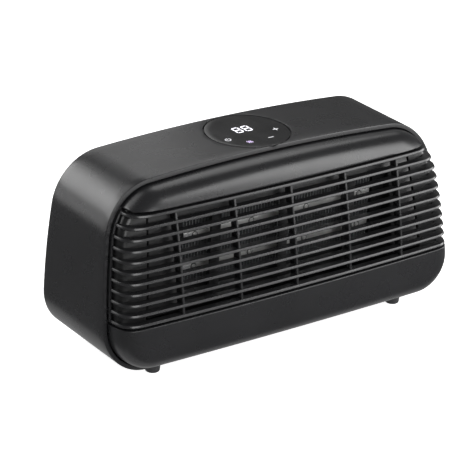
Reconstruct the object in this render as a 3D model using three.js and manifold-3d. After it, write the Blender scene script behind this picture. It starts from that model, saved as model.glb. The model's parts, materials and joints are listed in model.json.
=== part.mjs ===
// Ceramic space heater: a moulded sleeve case on four feet, a bulging front cover with a slatted
// grille, a ceramic (PTC) heating block in an outlet duct, a crossflow blower, a touch control disc
// in the top, and the intake cover with its rocker switch and cord gland at the back.
// Millimetres. +X to the heater's right as seen from the front, -Y is the front, +Z up.
// Finished, the feet stand on z = 0 and the origin is under the middle of the heater's box: the
// lengths below are drawn from a datum that DATUM moves there at the end.
import * as THREE from 'three';
import { mergeVertices } from 'three/addons/utils/BufferGeometryUtils.js';
import Module from 'manifold-3d';

const wasm = await Module();
wasm.setup();

// ---------- driving dimensions ----------
const GAP = 0.35; // clearance between neighbouring pieces
const WELD = 5e-3; // corners of a cut that lie closer than this are one corner

// Case section: tangent arcs from the middle of the crowned top down to the flat bottom.
// "end" is the angle from vertical, in degrees, at which each arc hands over to the next.
const CASE_TOP = 163.1;
const CASE_ARCS = [
  { radius: 1855, end: 3.7, steps: 3 }, // crowned top, each half
  { radius: 46.3, end: 80.35, steps: 7 }, // shoulder
  { radius: 588, end: 87.43, steps: 3 }, // side
  { radius: 37.5, end: 180, steps: 8 }, // bottom corner
];
const CASE_WALL = 3.2;
const LIP_WIDTH = 3.6; // front lip of the sleeve, seen from the front
const LIP_ROUND = 0.8;

// Planes that end the case: y = base + lean * z
const RIM = { base: -44.1, lean: 0.169 };
const BACK = { base: 51.1, lean: 0.0351 };

// Front surface: y = face + lean * h + crown * h^2 + bow * x^2, with h measured from FRONT.level
const FRONT = { level: 95.1, face: -54.4, lean: 0.207, crown: 9.718e-4, bow: 1.362e-4 };
const FRONT_ROUND = { radius: 20, power: 2.94, steps: 5, softPower: 2.3, softFrom: 40, softTo: 14 };
// below "softFrom" the front's rounding grows softer, down to "softPower" at "softTo"
const REAR_FACE = 57.8;
const REAR_ROUND = { radius: 11, power: 2.2, steps: 4, softPower: 2.2, softFrom: 40, softTo: 14 };

const DATUM = { y: 1.1, z: -2.5 };

const COVER_INSET = 4.5; // the covers sit this far inside the case outline
const COVER_WALL = 2.4;
const FLANGE_DEPTH = 9;

// Grille
const SLAT_COUNT = 11;
const SLAT_TOP = 139.1;
const SLAT_PITCH = 8.2;
const SLAT_THICK = 2.2;
const SLAT_DEPTH = 7.5;
const SLAT_BOTTOM = SLAT_TOP - (SLAT_COUNT - 1) * SLAT_PITCH;
const RIB_COUNT = 5;
const RIB_PITCH = 54.8;
const RIB_THICK = 2;
const RIB_SETBACK = 1.9;
const RIB_DEPTH = 10;
const BORDER_WIDTH = 2.3;
const GROOVE = 1.8; // black groove between the grille and the blank parts of the cover

// Feet
const FOOT = {
  x: 122.5, front: -35.3, rear: 36, // positions
  sole: 2.5, level: 9.2, // lower and upper heights
  top: 6.4, tip: 5.9, bore: 3.8, round: 1.2, // radii
};
const SCREW = { head: 3.4, headHeight: 2.2, shank: 1.5, hole: 2, seat: 5.4, cut: 1.9 };
const FOOT_SCREW_LENGTH = { front: 7.2, rear: 14 };
const REAR_SCREW_LENGTH = 20;

// Base plate inside the case, with posts that carry the outlet duct
const CHASSIS = { halfX: 130, front: -31.9, rear: 41, thick: 2.4, boss: 4, bossHeight: 5 };
const POST = { x: 100, half: 5, rows: [-19, 30] };

// Outlet duct and heating block
const DUCT = { halfWidth: 108, low: 61.5, high: 128.5, wall: 2, back: -11.7 };
const PANEL_SETBACK = 12.5;
const BLOCK = { front: -28.4, back: -14, halfWidth: 93, low: 65.6, high: 124.4 };
const BAR_LEVELS = [108.5, 81];
const BAR_HEIGHT = 6;
const STUD = { radius: 2.2, proud: 0.7 };
const DIVIDER = 0.9; // sheet between the two halves of the block
const FIN = { folds: 20, thick: 0.8, setback: 0.6 };
// passage for each bar's terminal
const SLOT = { half: 1.9, front: BLOCK.front + 4, back: BLOCK.front + 12 };
const TERMINAL_END = 12; // how far the terminals reach past the duct

// Crossflow blower
const AXIS = { y: 20.9, z: 100 };
const WHEEL = { radius: 26, inner: 18, halfLength: 101.5, blades: 16 };
const SHAFT_RADIUS = 2.5;
const HOUSING = { plate: 105.5, wall: 2, front: -11.1, rear: 51 };

// Shaded-pole motor: stack sizes are distances from the axis
const MOTOR = { x: 127, bracketIn: 113, bracketOut: 140, plate: 1.6 };
const STACK = {
  half: 10, bore: 12, halfY: 22, top: 20, bottom: 42, windowY: 14, windowTop: 18, windowLow: 32,
};

// Control disc and its board
const DISC = { x: 0, y: 19.4, radius: 35, thick: 1.8, gap: 0.6, edge: 0.4, top: 163, ledge: 3 };
const BOARD = { z: 150, thick: 1.6, halfX: 34, halfY: 27, postX: 30, postY: 23, post: 3.2 };
const TOUCH_KEYS = { power: [-22, -6], mode: [-9, -19], minus: [9, -19], plus: [22, -6] };
const TOUCH_RADIUS = 3.5;

// Power board and its components, at the left end
const POWER = { x: -122, thick: 1.6, y: [-18, 44], z: [24, 104] };
const RELAY_LEVELS = [62, 84];

// Tip-over switch: a plunger that hangs below the case when the heater is lifted or tipped
const TIP = { x: 60, y: -15, travel: 5, bore: 3 };
const TIP_BODY = { high: 32, halfX: 10, halfY: 7, wall: 2, bore: 5 };

// Rear cover: intake slots, screws, rocker switch and cord gland
const INTAKE = { columns: 4, pitchX: 62, slot: 54, rows: 8, pitchZ: 9.6, low: 63, height: 4.4 };
const REAR_SCREWS = [[155, 34], [141, 139]];
const SCREW_BOSS = { radius: 9, from: 20, to: 41 };
const SCREW_FACE = REAR_FACE - 1.2; // floor of the recess round each screw head
const ROCKER = { x: -95, z: 36, tilt: 8, pivot: 0.6 };
const ROCKER_HOLE = { halfX: 10.5, halfZ: 7 };
const GLAND = { x: -130, z: 36, neck: 5.5, bore: 3.8, flange: 8 };

// ---------- materials ----------
const finish = (color, roughness, metalness = 0) =>
  new THREE.MeshStandardMaterial({ color, roughness, metalness });
const BLACK_PLASTIC = finish(0x1b1b1d, 0.42);
const DARK_PLASTIC = finish(0x141415, 0.55);
const DISC_PLASTIC = finish(0x0c0c0e, 0.15);
const RUBBER = finish(0x0f0f10, 0.85);
const ALUMINIUM = finish(0xa9acb0, 0.4, 0.9);
const STEEL = finish(0x8c8f93, 0.35, 0.95);
const COPPER = finish(0xa5542c, 0.4, 0.8);
const CERAMIC = finish(0xc9c5bb, 0.7);
const BOARD_GREEN = finish(0x1c4a31, 0.5);
const RELAY_BLUE = finish(0x24406f, 0.45);

// ---------- helpers ----------
const heater = new THREE.Group();
const rad = THREE.MathUtils.degToRad;
const mirrorSides = [['left', -1], ['right', 1]];

function solid(geometry) {
  const bare = geometry.clone();
  bare.deleteAttribute('normal');
  bare.deleteAttribute('uv');
  const merged = mergeVertices(bare, 1e-4);
  return new wasm.Manifold(new wasm.Mesh({
    numProp: 3,
    vertProperties: new Float32Array(merged.attributes.position.array),
    triVerts: new Uint32Array(merged.index.array),
  }));
}

// Mesh of a cut or joined body, with edges shorter than WELD closed up
function geometryOf(body) {
  const mesh = body.getMesh();
  const raw = new THREE.BufferGeometry();
  raw.setAttribute('position', new THREE.BufferAttribute(new Float32Array(mesh.vertProperties), 3));
  raw.setIndex(new THREE.BufferAttribute(new Uint32Array(mesh.triVerts), 1));
  const geometry = mergeVertices(raw, WELD);
  const corners = geometry.index.array;
  const kept = [];
  for (let i = 0; i < corners.length; i += 3) {
    const [a, b, c] = corners.slice(i, i + 3);
    if (a !== b && b !== c && c !== a) kept.push(a, b, c);
  }
  geometry.setIndex(kept);
  geometry.computeVertexNormals();
  return geometry;
}

const join = (bodies) => bodies.reduce((sum, body) => sum.add(body));
const cut = (body, tools) => tools.reduce((rest, tool) => rest.subtract(tool), body);

function add(name, shape, material, parent = heater) {
  const geometry = shape.isBufferGeometry ? shape : geometryOf(shape);
  const mesh = new THREE.Mesh(geometry, material);
  mesh.name = name;
  parent.add(mesh);
  return mesh;
}

// Box between two corners
function box(low, high) {
  const size = high.map((value, i) => value - low[i]);
  const geometry = new THREE.BoxGeometry(...size);
  return geometry.translate(...low.map((value, i) => value + size[i] / 2));
}

// Round bar along an axis ('x', 'y' or 'z') from one end to the other
function rod(axis, centre, radius, from, to, segments = 16) {
  const geometry = new THREE.CylinderGeometry(radius, radius, to - from, segments);
  if (axis === 'x') geometry.rotateZ(-Math.PI / 2);
  if (axis === 'z') geometry.rotateX(Math.PI / 2);
  const middle = (from + to) / 2;
  const place = { x: [middle, ...centre], y: [centre[0], middle, centre[1]], z: [...centre, middle] };
  return geometry.translate(...place[axis]);
}

// Turned piece: profile of [radius, height] pairs, closed on itself or starting and ending on the axis
function turned(axis, centre, profile, segments = 16) {
  const points = profile.map(([r, h]) => new THREE.Vector2(r, h));
  const geometry = new THREE.LatheGeometry(points, segments);
  if (axis === 'x') geometry.rotateZ(-Math.PI / 2);
  if (axis === 'z') geometry.rotateX(Math.PI / 2);
  const place = { x: [0, ...centre], y: [centre[0], 0, centre[1]], z: [...centre, 0] };
  return geometry.translate(...place[axis]);
}

const ringProfile = (inner, outer, low, high) =>
  [[inner, low], [outer, low], [outer, high], [inner, high], [inner, low]];

// Prism along X of a (y, z) outline
function prismX(outline, from, to, holes = []) {
  const shape = new THREE.Shape(outline.map(([y, z]) => new THREE.Vector2(y, z)));
  shape.holes = holes;
  const depth = to - from;
  const geometry = new THREE.ExtrudeGeometry(shape, { depth, bevelEnabled: false, curveSegments: 12 });
  const basis = new THREE.Matrix4().makeBasis(
    new THREE.Vector3(0, 1, 0), new THREE.Vector3(0, 0, 1), new THREE.Vector3(1, 0, 0));
  return geometry.applyMatrix4(basis).translate(from, 0, 0);
}

function closedMesh(vertices, triangles) {
  const geometry = new THREE.BufferGeometry();
  geometry.setAttribute('position', new THREE.Float32BufferAttribute(vertices.flat(), 3));
  geometry.setIndex(triangles.flat());
  return geometry;
}

// ---------- case outline ----------
const arcs = [];
CASE_ARCS.forEach((arc, i) => {
  const before = arcs[i - 1];
  const start = before ? before.end : 0;
  const centre = before
    ? {
      x: before.centre.x + (before.radius - arc.radius) * Math.sin(start),
      z: before.centre.z + (before.radius - arc.radius) * Math.cos(start),
    }
    : { x: 0, z: CASE_TOP - arc.radius };
  arcs.push({ ...arc, start, end: rad(arc.end), centre });
});
const CASE_BOTTOM = arcs[3].centre.z - arcs[3].radius;

const onArc = (arc, angle, inset) => ({
  x: arc.centre.x + (arc.radius - inset) * Math.sin(angle),
  z: arc.centre.z + (arc.radius - inset) * Math.cos(angle),
});

// Closed outline, clockwise as seen from the front, in four runs that keep their counts at any inset
function outline(inset) {
  const half = arcs[0].steps;
  const top = [];
  for (let k = -half; k <= half; k += 1) top.push(onArc(arcs[0], (arcs[0].end * k) / half, inset));
  const right = [];
  for (const arc of arcs.slice(1)) {
    for (let i = 1; i <= arc.steps; i += 1) {
      right.push(onArc(arc, arc.start + ((arc.end - arc.start) * i) / arc.steps, inset));
    }
  }
  const corner = right.pop();
  const bottom = top.map((_, k) => ({ x: corner.x * (1 - k / half), z: corner.z }));
  const left = right.map(({ x, z }) => ({ x: -x, z })).reverse();
  return { top, right, bottom, left, loop: [...top, ...right, ...bottom, ...left] };
}

// Half width of the outline at a height
function halfWidthAt(z, inset) {
  for (const arc of arcs.slice(1)) {
    const cosine = (z - arc.centre.z) / (arc.radius - inset);
    const angle = Math.acos(THREE.MathUtils.clamp(cosine, -1, 1));
    if (angle >= arc.start && angle <= arc.end) return onArc(arc, angle, inset).x;
  }
  return 0;
}

const planeAt = (plane, z) => plane.base + plane.lean * z;
function frontAt(x, z) {
  const h = z - FRONT.level;
  return FRONT.face + FRONT.lean * h + FRONT.crown * h * h + FRONT.bow * x * x;
}

// Rounded edge of a cover: how far in from the outline each step lies
function roundingInset(round, step) {
  const angle = (Math.PI / 2) * (step / round.steps);
  return round.radius * (1 - Math.cos(angle) ** (2 / round.power));
}

// How much of the full bulge is reached at an inset and a height
function riseAt(round, inset, z) {
  const soft = THREE.MathUtils.clamp((round.softFrom - z) / (round.softFrom - round.softTo), 0, 1);
  const power = THREE.MathUtils.lerp(round.power, round.softPower, soft);
  const share = THREE.MathUtils.clamp(inset / round.radius, 0, 1);
  return (1 - (1 - share) ** power) ** (1 / power);
}

function strip(loopA, loopB, triangles, start) {
  const count = loopA.length;
  for (let i = 0; i < count; i += 1) {
    const j = (i + 1) % count;
    const [a, b, c, d] = [start + i, start + j, start + count + i, start + count + j];
    triangles.push([a, b, d], [a, d, c]);
  }
}

// Closed band around the outline: each corner of its section is an inset and a depth y(z)
function band(section) {
  const loops = section.map(({ inset, y }) => outline(inset).loop.map(({ x, z }) => [x, y(z), z]));
  const triangles = [];
  loops.forEach((loop, i) => {
    if (i + 1 < loops.length) strip(loop, loops[i + 1], triangles, i * loop.length);
  });
  const count = loops[0].length;
  const last = (loops.length - 1) * count;
  for (let i = 0; i < count; i += 1) {
    const j = (i + 1) % count;
    triangles.push([last + i, last + j, j], [last + i, j, i]);
  }
  return closedMesh(loops.flat(), triangles.map(([a, b, c]) => [c, b, a]));
}

// Domed solid inside the outline: flat back at y(z), rounded edge, and a full surface face(x, z).
// "facing" is -1 for a dome towards the front and 1 for one towards the back.
function dome({ inset, back, edge, face, round, facing }) {
  const vertices = [];
  const triangles = [];
  const base = outline(inset);
  base.loop.forEach(({ x, z }) => vertices.push([x, back(z), z]));
  const caps = THREE.ShapeUtils.triangulateShape(base.loop.map(({ x, z }) => new THREE.Vector2(x, z)), []);
  caps.forEach(([a, b, c]) => triangles.push([a, b, c]));
  let start = 0;
  let runs = base;
  for (let step = 0; step <= round.steps; step += 1) {
    const extra = roundingInset(round, step);
    runs = outline(inset + extra);
    for (const { x, z } of runs.loop) {
      const rise = riseAt(round, extra, z);
      vertices.push([x, edge(z) * (1 - rise) + face(x, z) * rise, z]);
    }
    strip(base.loop, base.loop, triangles, start);
    start += base.loop.length;
  }
  const width = runs.top.length;
  const rungs = [runs.top.map((_, k) => start + k)];
  runs.right.forEach((point, i) => {
    const rung = [start + runs.loop.length - 1 - i];
    for (let k = 1; k < width - 1; k += 1) {
      const x = point.x * ((2 * k) / (width - 1) - 1);
      rung.push(vertices.length);
      vertices.push([x, face(x, point.z), point.z]);
    }
    rung.push(start + width + i);
    rungs.push(rung);
  });
  const bottomStart = start + width + runs.right.length;
  rungs.push(runs.bottom.map((_, k) => bottomStart + width - 1 - k));
  for (let i = 0; i + 1 < rungs.length; i += 1) {
    for (let k = 0; k + 1 < width; k += 1) {
      const [a, b, c, d] = [rungs[i][k], rungs[i][k + 1], rungs[i + 1][k], rungs[i + 1][k + 1]];
      triangles.push([a, b, d], [a, d, c]);
    }
  }
  return closedMesh(vertices, facing < 0 ? triangles.map(([a, b, c]) => [c, b, a]) : triangles);
}

// ---------- case ----------
const rim = (offset) => (z) => planeAt(RIM, z) + offset;
const back = (offset) => (z) => planeAt(BACK, z) + offset;

function caseShell() {
  const sleeve = solid(band([
    { inset: 0, y: back(0) },
    { inset: 0, y: rim(LIP_ROUND) },
    { inset: LIP_ROUND, y: rim(0) },
    { inset: LIP_WIDTH, y: rim(0) },
    { inset: LIP_WIDTH, y: rim(2) },
    { inset: CASE_WALL, y: rim(2.6) },
    { inset: CASE_WALL, y: back(0) },
  ]));
  const boardPosts = [];
  for (const x of [-BOARD.postX, BOARD.postX]) {
    for (const y of [-BOARD.postY, BOARD.postY]) {
      const foot = BOARD.z + BOARD.thick + GAP;
      boardPosts.push(solid(rod('z', [DISC.x + x, DISC.y + y], BOARD.post, foot, CASE_TOP - 2.1, 12)));
    }
  }
  const inside = solid(band([
    { inset: 1, y: back(0) }, { inset: 1, y: rim(3) }, { inset: 30, y: rim(3) }, { inset: 30, y: back(0) },
  ]));
  const bosses = REAR_SCREWS.flatMap(([x, z]) => [-x, x].map((side) =>
    solid(rod('y', [side, z], SCREW_BOSS.radius, SCREW_BOSS.from, SCREW_BOSS.to, 16)).intersect(inside)));
  const holes = [
    solid(rod('z', [DISC.x, DISC.y], DISC.radius + DISC.gap, DISC.top - DISC.thick - GAP, 170, 40)),
    solid(rod('z', [DISC.x, DISC.y], DISC.radius - DISC.ledge, BOARD.z, 170, 24)),
    solid(rod('z', [TIP.x, TIP.y], TIP.bore, 5, 15, 16)),
  ];
  for (const x of [-FOOT.x, FOOT.x]) {
    for (const y of [FOOT.front, FOOT.rear]) holes.push(solid(rod('z', [x, y], SCREW.hole, 5, 15, 12)));
  }
  for (const [x, z] of REAR_SCREWS) {
    for (const side of [-x, x]) holes.push(solid(rod('y', [side, z], SCREW.cut, 25, 60, 12)));
  }
  return cut(join([sleeve, ...bosses]), holes).add(join(boardPosts));
}
add('case_shell', caseShell(), BLACK_PLASTIC);

function frontCover() {
  const shell = solid(dome({
    inset: COVER_INSET, back: rim(FLANGE_DEPTH), edge: rim(0), face: frontAt, round: FRONT_ROUND, facing: -1,
  }));
  const hollow = solid(dome({
    inset: COVER_INSET + COVER_WALL,
    back: rim(FLANGE_DEPTH + 1),
    edge: rim(COVER_WALL),
    face: (x, z) => frontAt(x, z) + COVER_WALL,
    round: FRONT_ROUND,
    facing: -1,
  }));
  const low = SLAT_BOTTOM - SLAT_THICK / 2 - GROOVE;
  const high = SLAT_TOP + SLAT_THICK / 2 + GROOVE;
  const window = solid(prismX(
    [[-100, low], [rim(1)(low), low], [rim(1)(high), high], [-100, high]], -200, 200));
  return cut(shell, [hollow, window]);
}
add('front_cover', frontCover(), BLACK_PLASTIC);

// Slat section, as [inwards, up] from its front edge
const slatSection = [
  [0.9, SLAT_THICK / 2], [0, 0.45], [0, -0.45], [0.9, -SLAT_THICK / 2],
  [SLAT_DEPTH, 0.4 - SLAT_THICK / 2], [SLAT_DEPTH, SLAT_THICK / 2 - 0.4],
];

// Plan of the front surface at one height, from the left rim to the right rim
function slatPath(z) {
  const half = [];
  const shoulder = arcs[1];
  // further in than "reach" the inset outline's shoulder lies below this height
  const reach = shoulder.radius - (z - shoulder.centre.z) / Math.cos(shoulder.start) - COVER_INSET - WELD;
  for (let step = 1; step <= FRONT_ROUND.steps; step += 1) {
    const inset = roundingInset(FRONT_ROUND, step - (step === 1 ? 0.9 : 0));
    const rise = riseAt(FRONT_ROUND, inset, z);
    const x = halfWidthAt(z, COVER_INSET + Math.min(inset, reach));
    half.push([x, planeAt(RIM, z) * (1 - rise) + frontAt(x, z) * rise]);
  }
  const last = half[half.length - 1][0];
  for (const part of [2 / 3, 1 / 3]) half.push([last * part, frontAt(last * part, z)]);
  return [...half.map(([x, y]) => [-x, y]), [0, frontAt(0, z)], ...half.reverse()];
}

function slat(z) {
  const path = slatPath(z).map(([x, y]) => new THREE.Vector2(x, y));
  const rings = path.map((point, i) => {
    const ahead = path[Math.min(i + 1, path.length - 1)].clone().sub(path[Math.max(i - 1, 0)]).normalize();
    return slatSection.map(([inwards, up]) => [
      point.x - ahead.y * inwards, point.y + ahead.x * inwards, z + up]);
  });
  const triangles = [];
  const count = slatSection.length;
  for (let i = 0; i + 1 < rings.length; i += 1) strip(rings[i], rings[i + 1], triangles, i * count);
  const last = (rings.length - 1) * count;
  for (let k = 1; k + 1 < count; k += 1) {
    triangles.push([0, k + 1, k], [last, last + k, last + k + 1]);
  }
  return closedMesh(rings.flat(), triangles);
}

function rib(x) {
  const front = [];
  const rear = [];
  for (let k = 0; k <= 5; k += 1) {
    const z = SLAT_BOTTOM + ((SLAT_TOP - SLAT_BOTTOM) * k) / 5;
    front.push([frontAt(x, z) + RIB_SETBACK, z]);
    rear.push([frontAt(x, z) + RIB_DEPTH, z]);
  }
  return prismX([...front, ...rear.reverse()], x - RIB_THICK / 2, x + RIB_THICK / 2);
}

function frontGrille() {
  const pieces = [];
  for (let k = 0; k < SLAT_COUNT; k += 1) pieces.push(solid(slat(SLAT_TOP - k * SLAT_PITCH)));
  for (let k = 0; k < RIB_COUNT; k += 1) pieces.push(solid(rib((k - (RIB_COUNT - 1) / 2) * RIB_PITCH)));
  const border = solid(band([
    { inset: COVER_INSET, y: rim(1 - GAP) },
    { inset: COVER_INSET, y: rim(-2.2) },
    { inset: COVER_INSET + BORDER_WIDTH, y: rim(-2.2) },
    { inset: COVER_INSET + BORDER_WIDTH, y: rim(1 - GAP) },
  ]));
  const zone = solid(box(
    [-200, -100, SLAT_BOTTOM - SLAT_THICK / 2], [200, 100, SLAT_TOP + SLAT_THICK / 2]));
  return join([...pieces, border.intersect(zone)]);
}
add('front_grille', frontGrille(), BLACK_PLASTIC);

// ---------- rear cover ----------
function rearCover() {
  const face = (wall) => () => REAR_FACE - wall;
  const shell = solid(dome({
    inset: COVER_INSET, back: back(-FLANGE_DEPTH), edge: back(0), face: face(0), round: REAR_ROUND, facing: 1,
  }));
  const hollow = solid(dome({
    inset: COVER_INSET + COVER_WALL,
    back: back(-FLANGE_DEPTH - 1),
    edge: back(-COVER_WALL),
    face: face(COVER_WALL),
    round: REAR_ROUND,
    facing: 1,
  }));
  const holes = [
    solid(box([ROCKER.x - ROCKER_HOLE.halfX, 40, ROCKER.z - ROCKER_HOLE.halfZ],
      [ROCKER.x + ROCKER_HOLE.halfX, 80, ROCKER.z + ROCKER_HOLE.halfZ])),
    solid(rod('y', [GLAND.x, GLAND.z], GLAND.neck + GAP, 40, 80, 20)),
  ];
  for (const [x, z] of REAR_SCREWS) {
    for (const side of [-x, x]) {
      holes.push(solid(rod('y', [side, z], SCREW.hole, 30, 80, 12)));
      holes.push(solid(rod('y', [side, z], SCREW.head + 0.8, SCREW_FACE, 80, 16)));
    }
  }
  for (let column = 0; column < INTAKE.columns; column += 1) {
    const x = (column - (INTAKE.columns - 1) / 2) * INTAKE.pitchX;
    for (let row = 0; row < INTAKE.rows; row += 1) {
      const z = INTAKE.low + row * INTAKE.pitchZ;
      holes.push(solid(box([x - INTAKE.slot / 2, 40, z], [x + INTAKE.slot / 2, 80, z + INTAKE.height])));
    }
  }
  return cut(shell, [hollow, ...holes]);
}
add('rear_cover', rearCover(), BLACK_PLASTIC);

function screw(name, axis, centre, head, length, toward) {
  // "head" is where the head's inner face sits, and the shank runs from there "toward" +1 or -1
  const { head: rim, headHeight: crown, shank } = SCREW;
  const profile = [
    [0, -crown], [rim - 1, -crown], [rim, 1 - crown], [rim, 0],
    [shank, 0], [shank, length - 1], [0.6, length], [0, length],
  ];
  const placed = toward > 0
    ? profile.map(([r, h]) => [r, head + h])
    : profile.map(([r, h]) => [r, head - h]).reverse();
  add(name, turned(axis, centre, placed, 10), STEEL);
}
for (const [side, sign] of mirrorSides) {
  REAR_SCREWS.forEach(([x, z], i) => {
    const level = i === 0 ? 'low' : 'high';
    screw(`rear_screw_${level}_${side}`, 'y', [sign * x, z], SCREW_FACE + GAP, REAR_SCREW_LENGTH, -1);
  });
}

// ---------- base and feet ----------
const chassisLow = CASE_BOTTOM + CASE_WALL + GAP;
const chassisTop = chassisLow + CHASSIS.thick;

// Tray with four posts, and a boss over each rear foot
function chassis() {
  const { halfX, front, rear } = CHASSIS;
  const tray = solid(box([-halfX, front, chassisLow], [halfX, rear, chassisTop]));
  const parts = [tray];
  const holes = [solid(rod('z', [TIP.x, TIP.y], TIP.bore, 0, 30, 16))];
  const postTop = DUCT.low - DUCT.wall - GAP;
  for (const sign of [-1, 1]) {
    const x = sign * POST.x;
    for (const y of POST.rows) {
      const { half } = POST;
      parts.push(solid(box([x - half, y - half, chassisLow], [x + half, y + half, postTop])));
    }
    const foot = [sign * FOOT.x, FOOT.rear];
    parts.push(solid(rod('z', foot, CHASSIS.boss, chassisLow, chassisTop + CHASSIS.bossHeight, 16)));
    holes.push(solid(rod('z', foot, SCREW.cut, 0, 30, 12)));
  }
  return cut(join(parts), holes);
}
add('chassis', chassis(), DARK_PLASTIC);

for (const [side, sign] of mirrorSides) {
  for (const end of ['front', 'rear']) {
    const centre = [sign * FOOT.x, FOOT[end]];
    const { sole, level, top, tip, bore, round } = FOOT;
    const ledge = SCREW.seat + GAP;
    add(`foot_${end}_${side}`, turned('z', centre, [
      [bore, sole], [tip - round, sole], [tip, sole + round], [top, level],
      [SCREW.cut, level], [SCREW.cut, ledge], [bore, ledge], [bore, sole],
    ]), RUBBER);
    screw(`foot_screw_${end}_${side}`, 'z', centre, SCREW.seat, FOOT_SCREW_LENGTH[end], 1);
  }
}

// ---------- controls ----------
add('control_disc', turned('z', [DISC.x, DISC.y], [
  [0, DISC.top - DISC.thick], [DISC.radius, DISC.top - DISC.thick],
  [DISC.radius, DISC.top - DISC.edge], [DISC.radius - DISC.edge, DISC.top], [0, DISC.top],
], 40), DISC_PLASTIC);
const boardTop = BOARD.z + BOARD.thick;
add('control_board', box([DISC.x - BOARD.halfX, DISC.y - BOARD.halfY, BOARD.z],
  [DISC.x + BOARD.halfX, DISC.y + BOARD.halfY, boardTop]), BOARD_GREEN);
const discUnderside = DISC.top - DISC.thick - GAP;
add('display_module', box(
  [DISC.x - 13, DISC.y - 3, boardTop + GAP], [DISC.x + 13, DISC.y + 15, discUnderside]),
  DARK_PLASTIC);
for (const [key, [x, y]] of Object.entries(TOUCH_KEYS)) {
  const centre = [DISC.x + x, DISC.y + y];
  add(`touch_pad_${key}`, rod('z', centre, TOUCH_RADIUS, boardTop + GAP, discUnderside, 16), COPPER);
}

// ---------- outlet duct ----------
function outletDuct() {
  const panelFront = (z) => frontAt(0, z) + PANEL_SETBACK;
  const levels = [0, 1, 2, 3, 4].map((k) => 48 + k * 24);
  const section = [
    ...levels.map((z) => [panelFront(z), z]),
    ...levels.map((z) => [panelFront(z) + 2, z]).reverse(),
  ];
  const slanted = new THREE.Shape([[-139, 40], [139, 40], [128, 150], [-128, 150]]
    .map(([x, z]) => new THREE.Vector2(x, z)));
  const trim = new THREE.ExtrudeGeometry(slanted, { depth: 100, bevelEnabled: false });
  trim.rotateX(Math.PI / 2).translate(0, 20, 0);
  const panel = solid(prismX(section, -145, 145)).intersect(solid(trim));
  const { halfWidth, low, high, wall } = DUCT;
  const tunnel = solid(prismX([
    [panelFront(low) + 1, low - wall], [DUCT.back, low - wall], [DUCT.back, high + wall],
    [panelFront(high) + 1, high + wall],
  ], -halfWidth - wall, halfWidth + wall));
  const bore = solid(box([-halfWidth, -100, low], [halfWidth, 0, high]));
  const slots = BAR_LEVELS.map((z) => solid(box(
    [-halfWidth - 10, SLOT.front, z - SLOT.half], [-halfWidth + 5, SLOT.back, z + SLOT.half])));
  return cut(join([panel, tunnel]), [bore, ...slots]);
}
add('outlet_duct', outletDuct(), DARK_PLASTIC);

// ---------- heating block ----------
function blockFrame() {
  const { halfWidth, low, high } = DUCT;
  const outer = solid(box([-halfWidth + GAP, BLOCK.front - 0.8, low + GAP],
    [halfWidth - GAP, BLOCK.back + 0.8, high - GAP]));
  const inner = solid(box([-BLOCK.halfWidth - 2, -60, BLOCK.low], [BLOCK.halfWidth + 2, 0, BLOCK.high]));
  const slots = BAR_LEVELS.map((z) => solid(box(
    [-halfWidth - 10, SLOT.front, z - SLOT.half], [-BLOCK.halfWidth, SLOT.back, z + SLOT.half])));
  return cut(outer, [inner, ...slots]);
}
add('block_frame', blockFrame(), DARK_PLASTIC);

function electrodeBar(z) {
  const half = BAR_HEIGHT / 2;
  const { halfWidth, front, back } = BLOCK;
  const bar = solid(box([-halfWidth, front, z - half], [halfWidth, back, z + half]));
  const studs = [-1.5, -0.5, 0.5, 1.5].map((k) =>
    solid(rod('y', [k * RIB_PITCH, z], STUD.radius, BLOCK.front - STUD.proud, BLOCK.front + 2, 12)));
  return join([bar, ...studs]);
}
BAR_LEVELS.forEach((z, i) => add(`electrode_bar_${i + 1}`, electrodeBar(z), CERAMIC));

const middle = (BAR_LEVELS[0] + BAR_LEVELS[1]) / 2;
add('fin_divider', box([-BLOCK.halfWidth, BLOCK.front + 0.5, middle - DIVIDER / 2],
  [BLOCK.halfWidth, BLOCK.back, middle + DIVIDER / 2]), ALUMINIUM);

function finRow(low, high) {
  // One folded strip: a square wave of even thickness
  const step = (2 * BLOCK.halfWidth - FIN.thick) / FIN.folds;
  const upper = [];
  const lower = [];
  const left = -BLOCK.halfWidth;
  for (let k = 0; k < FIN.folds; k += 1) {
    const from = left + k * step;
    const to = from + step;
    const top = k % 2 === 0;
    upper.push([from + (top ? 0 : FIN.thick), top ? high : low + FIN.thick],
      [to + (top ? FIN.thick : 0), top ? high : low + FIN.thick]);
    lower.push([from + (top ? FIN.thick : 0), top ? high - FIN.thick : low],
      [to + (top ? 0 : FIN.thick), top ? high - FIN.thick : low]);
  }
  const end = left + FIN.folds * step + FIN.thick;
  upper[0] = [left, high];
  lower[0] = [left + FIN.thick, high - FIN.thick];
  const contour = [[left, low], ...upper, [end, low + FIN.thick], [end, low], ...lower.reverse(),
    [left + FIN.thick, low]];
  const shape = new THREE.Shape(contour.map(([x, z]) => new THREE.Vector2(x, z)));
  const depth = BLOCK.back - BLOCK.front - FIN.setback;
  const geometry = new THREE.ExtrudeGeometry(shape, { depth, bevelEnabled: false });
  return geometry.rotateX(Math.PI / 2).translate(0, BLOCK.back, 0);
}
const halfBar = BAR_HEIGHT / 2 + GAP;
const finLevels = [
  [BAR_LEVELS[0] + halfBar, BLOCK.high - GAP],
  [middle + DIVIDER / 2 + GAP, BAR_LEVELS[0] - halfBar],
  [BAR_LEVELS[1] + halfBar, middle - DIVIDER / 2 - GAP],
  [BLOCK.low + GAP, BAR_LEVELS[1] - halfBar],
];
finLevels.forEach(([low, high], i) => add(`fin_row_${i + 1}`, finRow(low, high), ALUMINIUM));

BAR_LEVELS.forEach((z, i) => add(`terminal_${i + 1}`, box(
  [-DUCT.halfWidth - TERMINAL_END, SLOT.front + 1, z - 0.5],
  [-BLOCK.halfWidth - GAP, SLOT.back - 1, z + 0.5]), STEEL));

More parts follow.
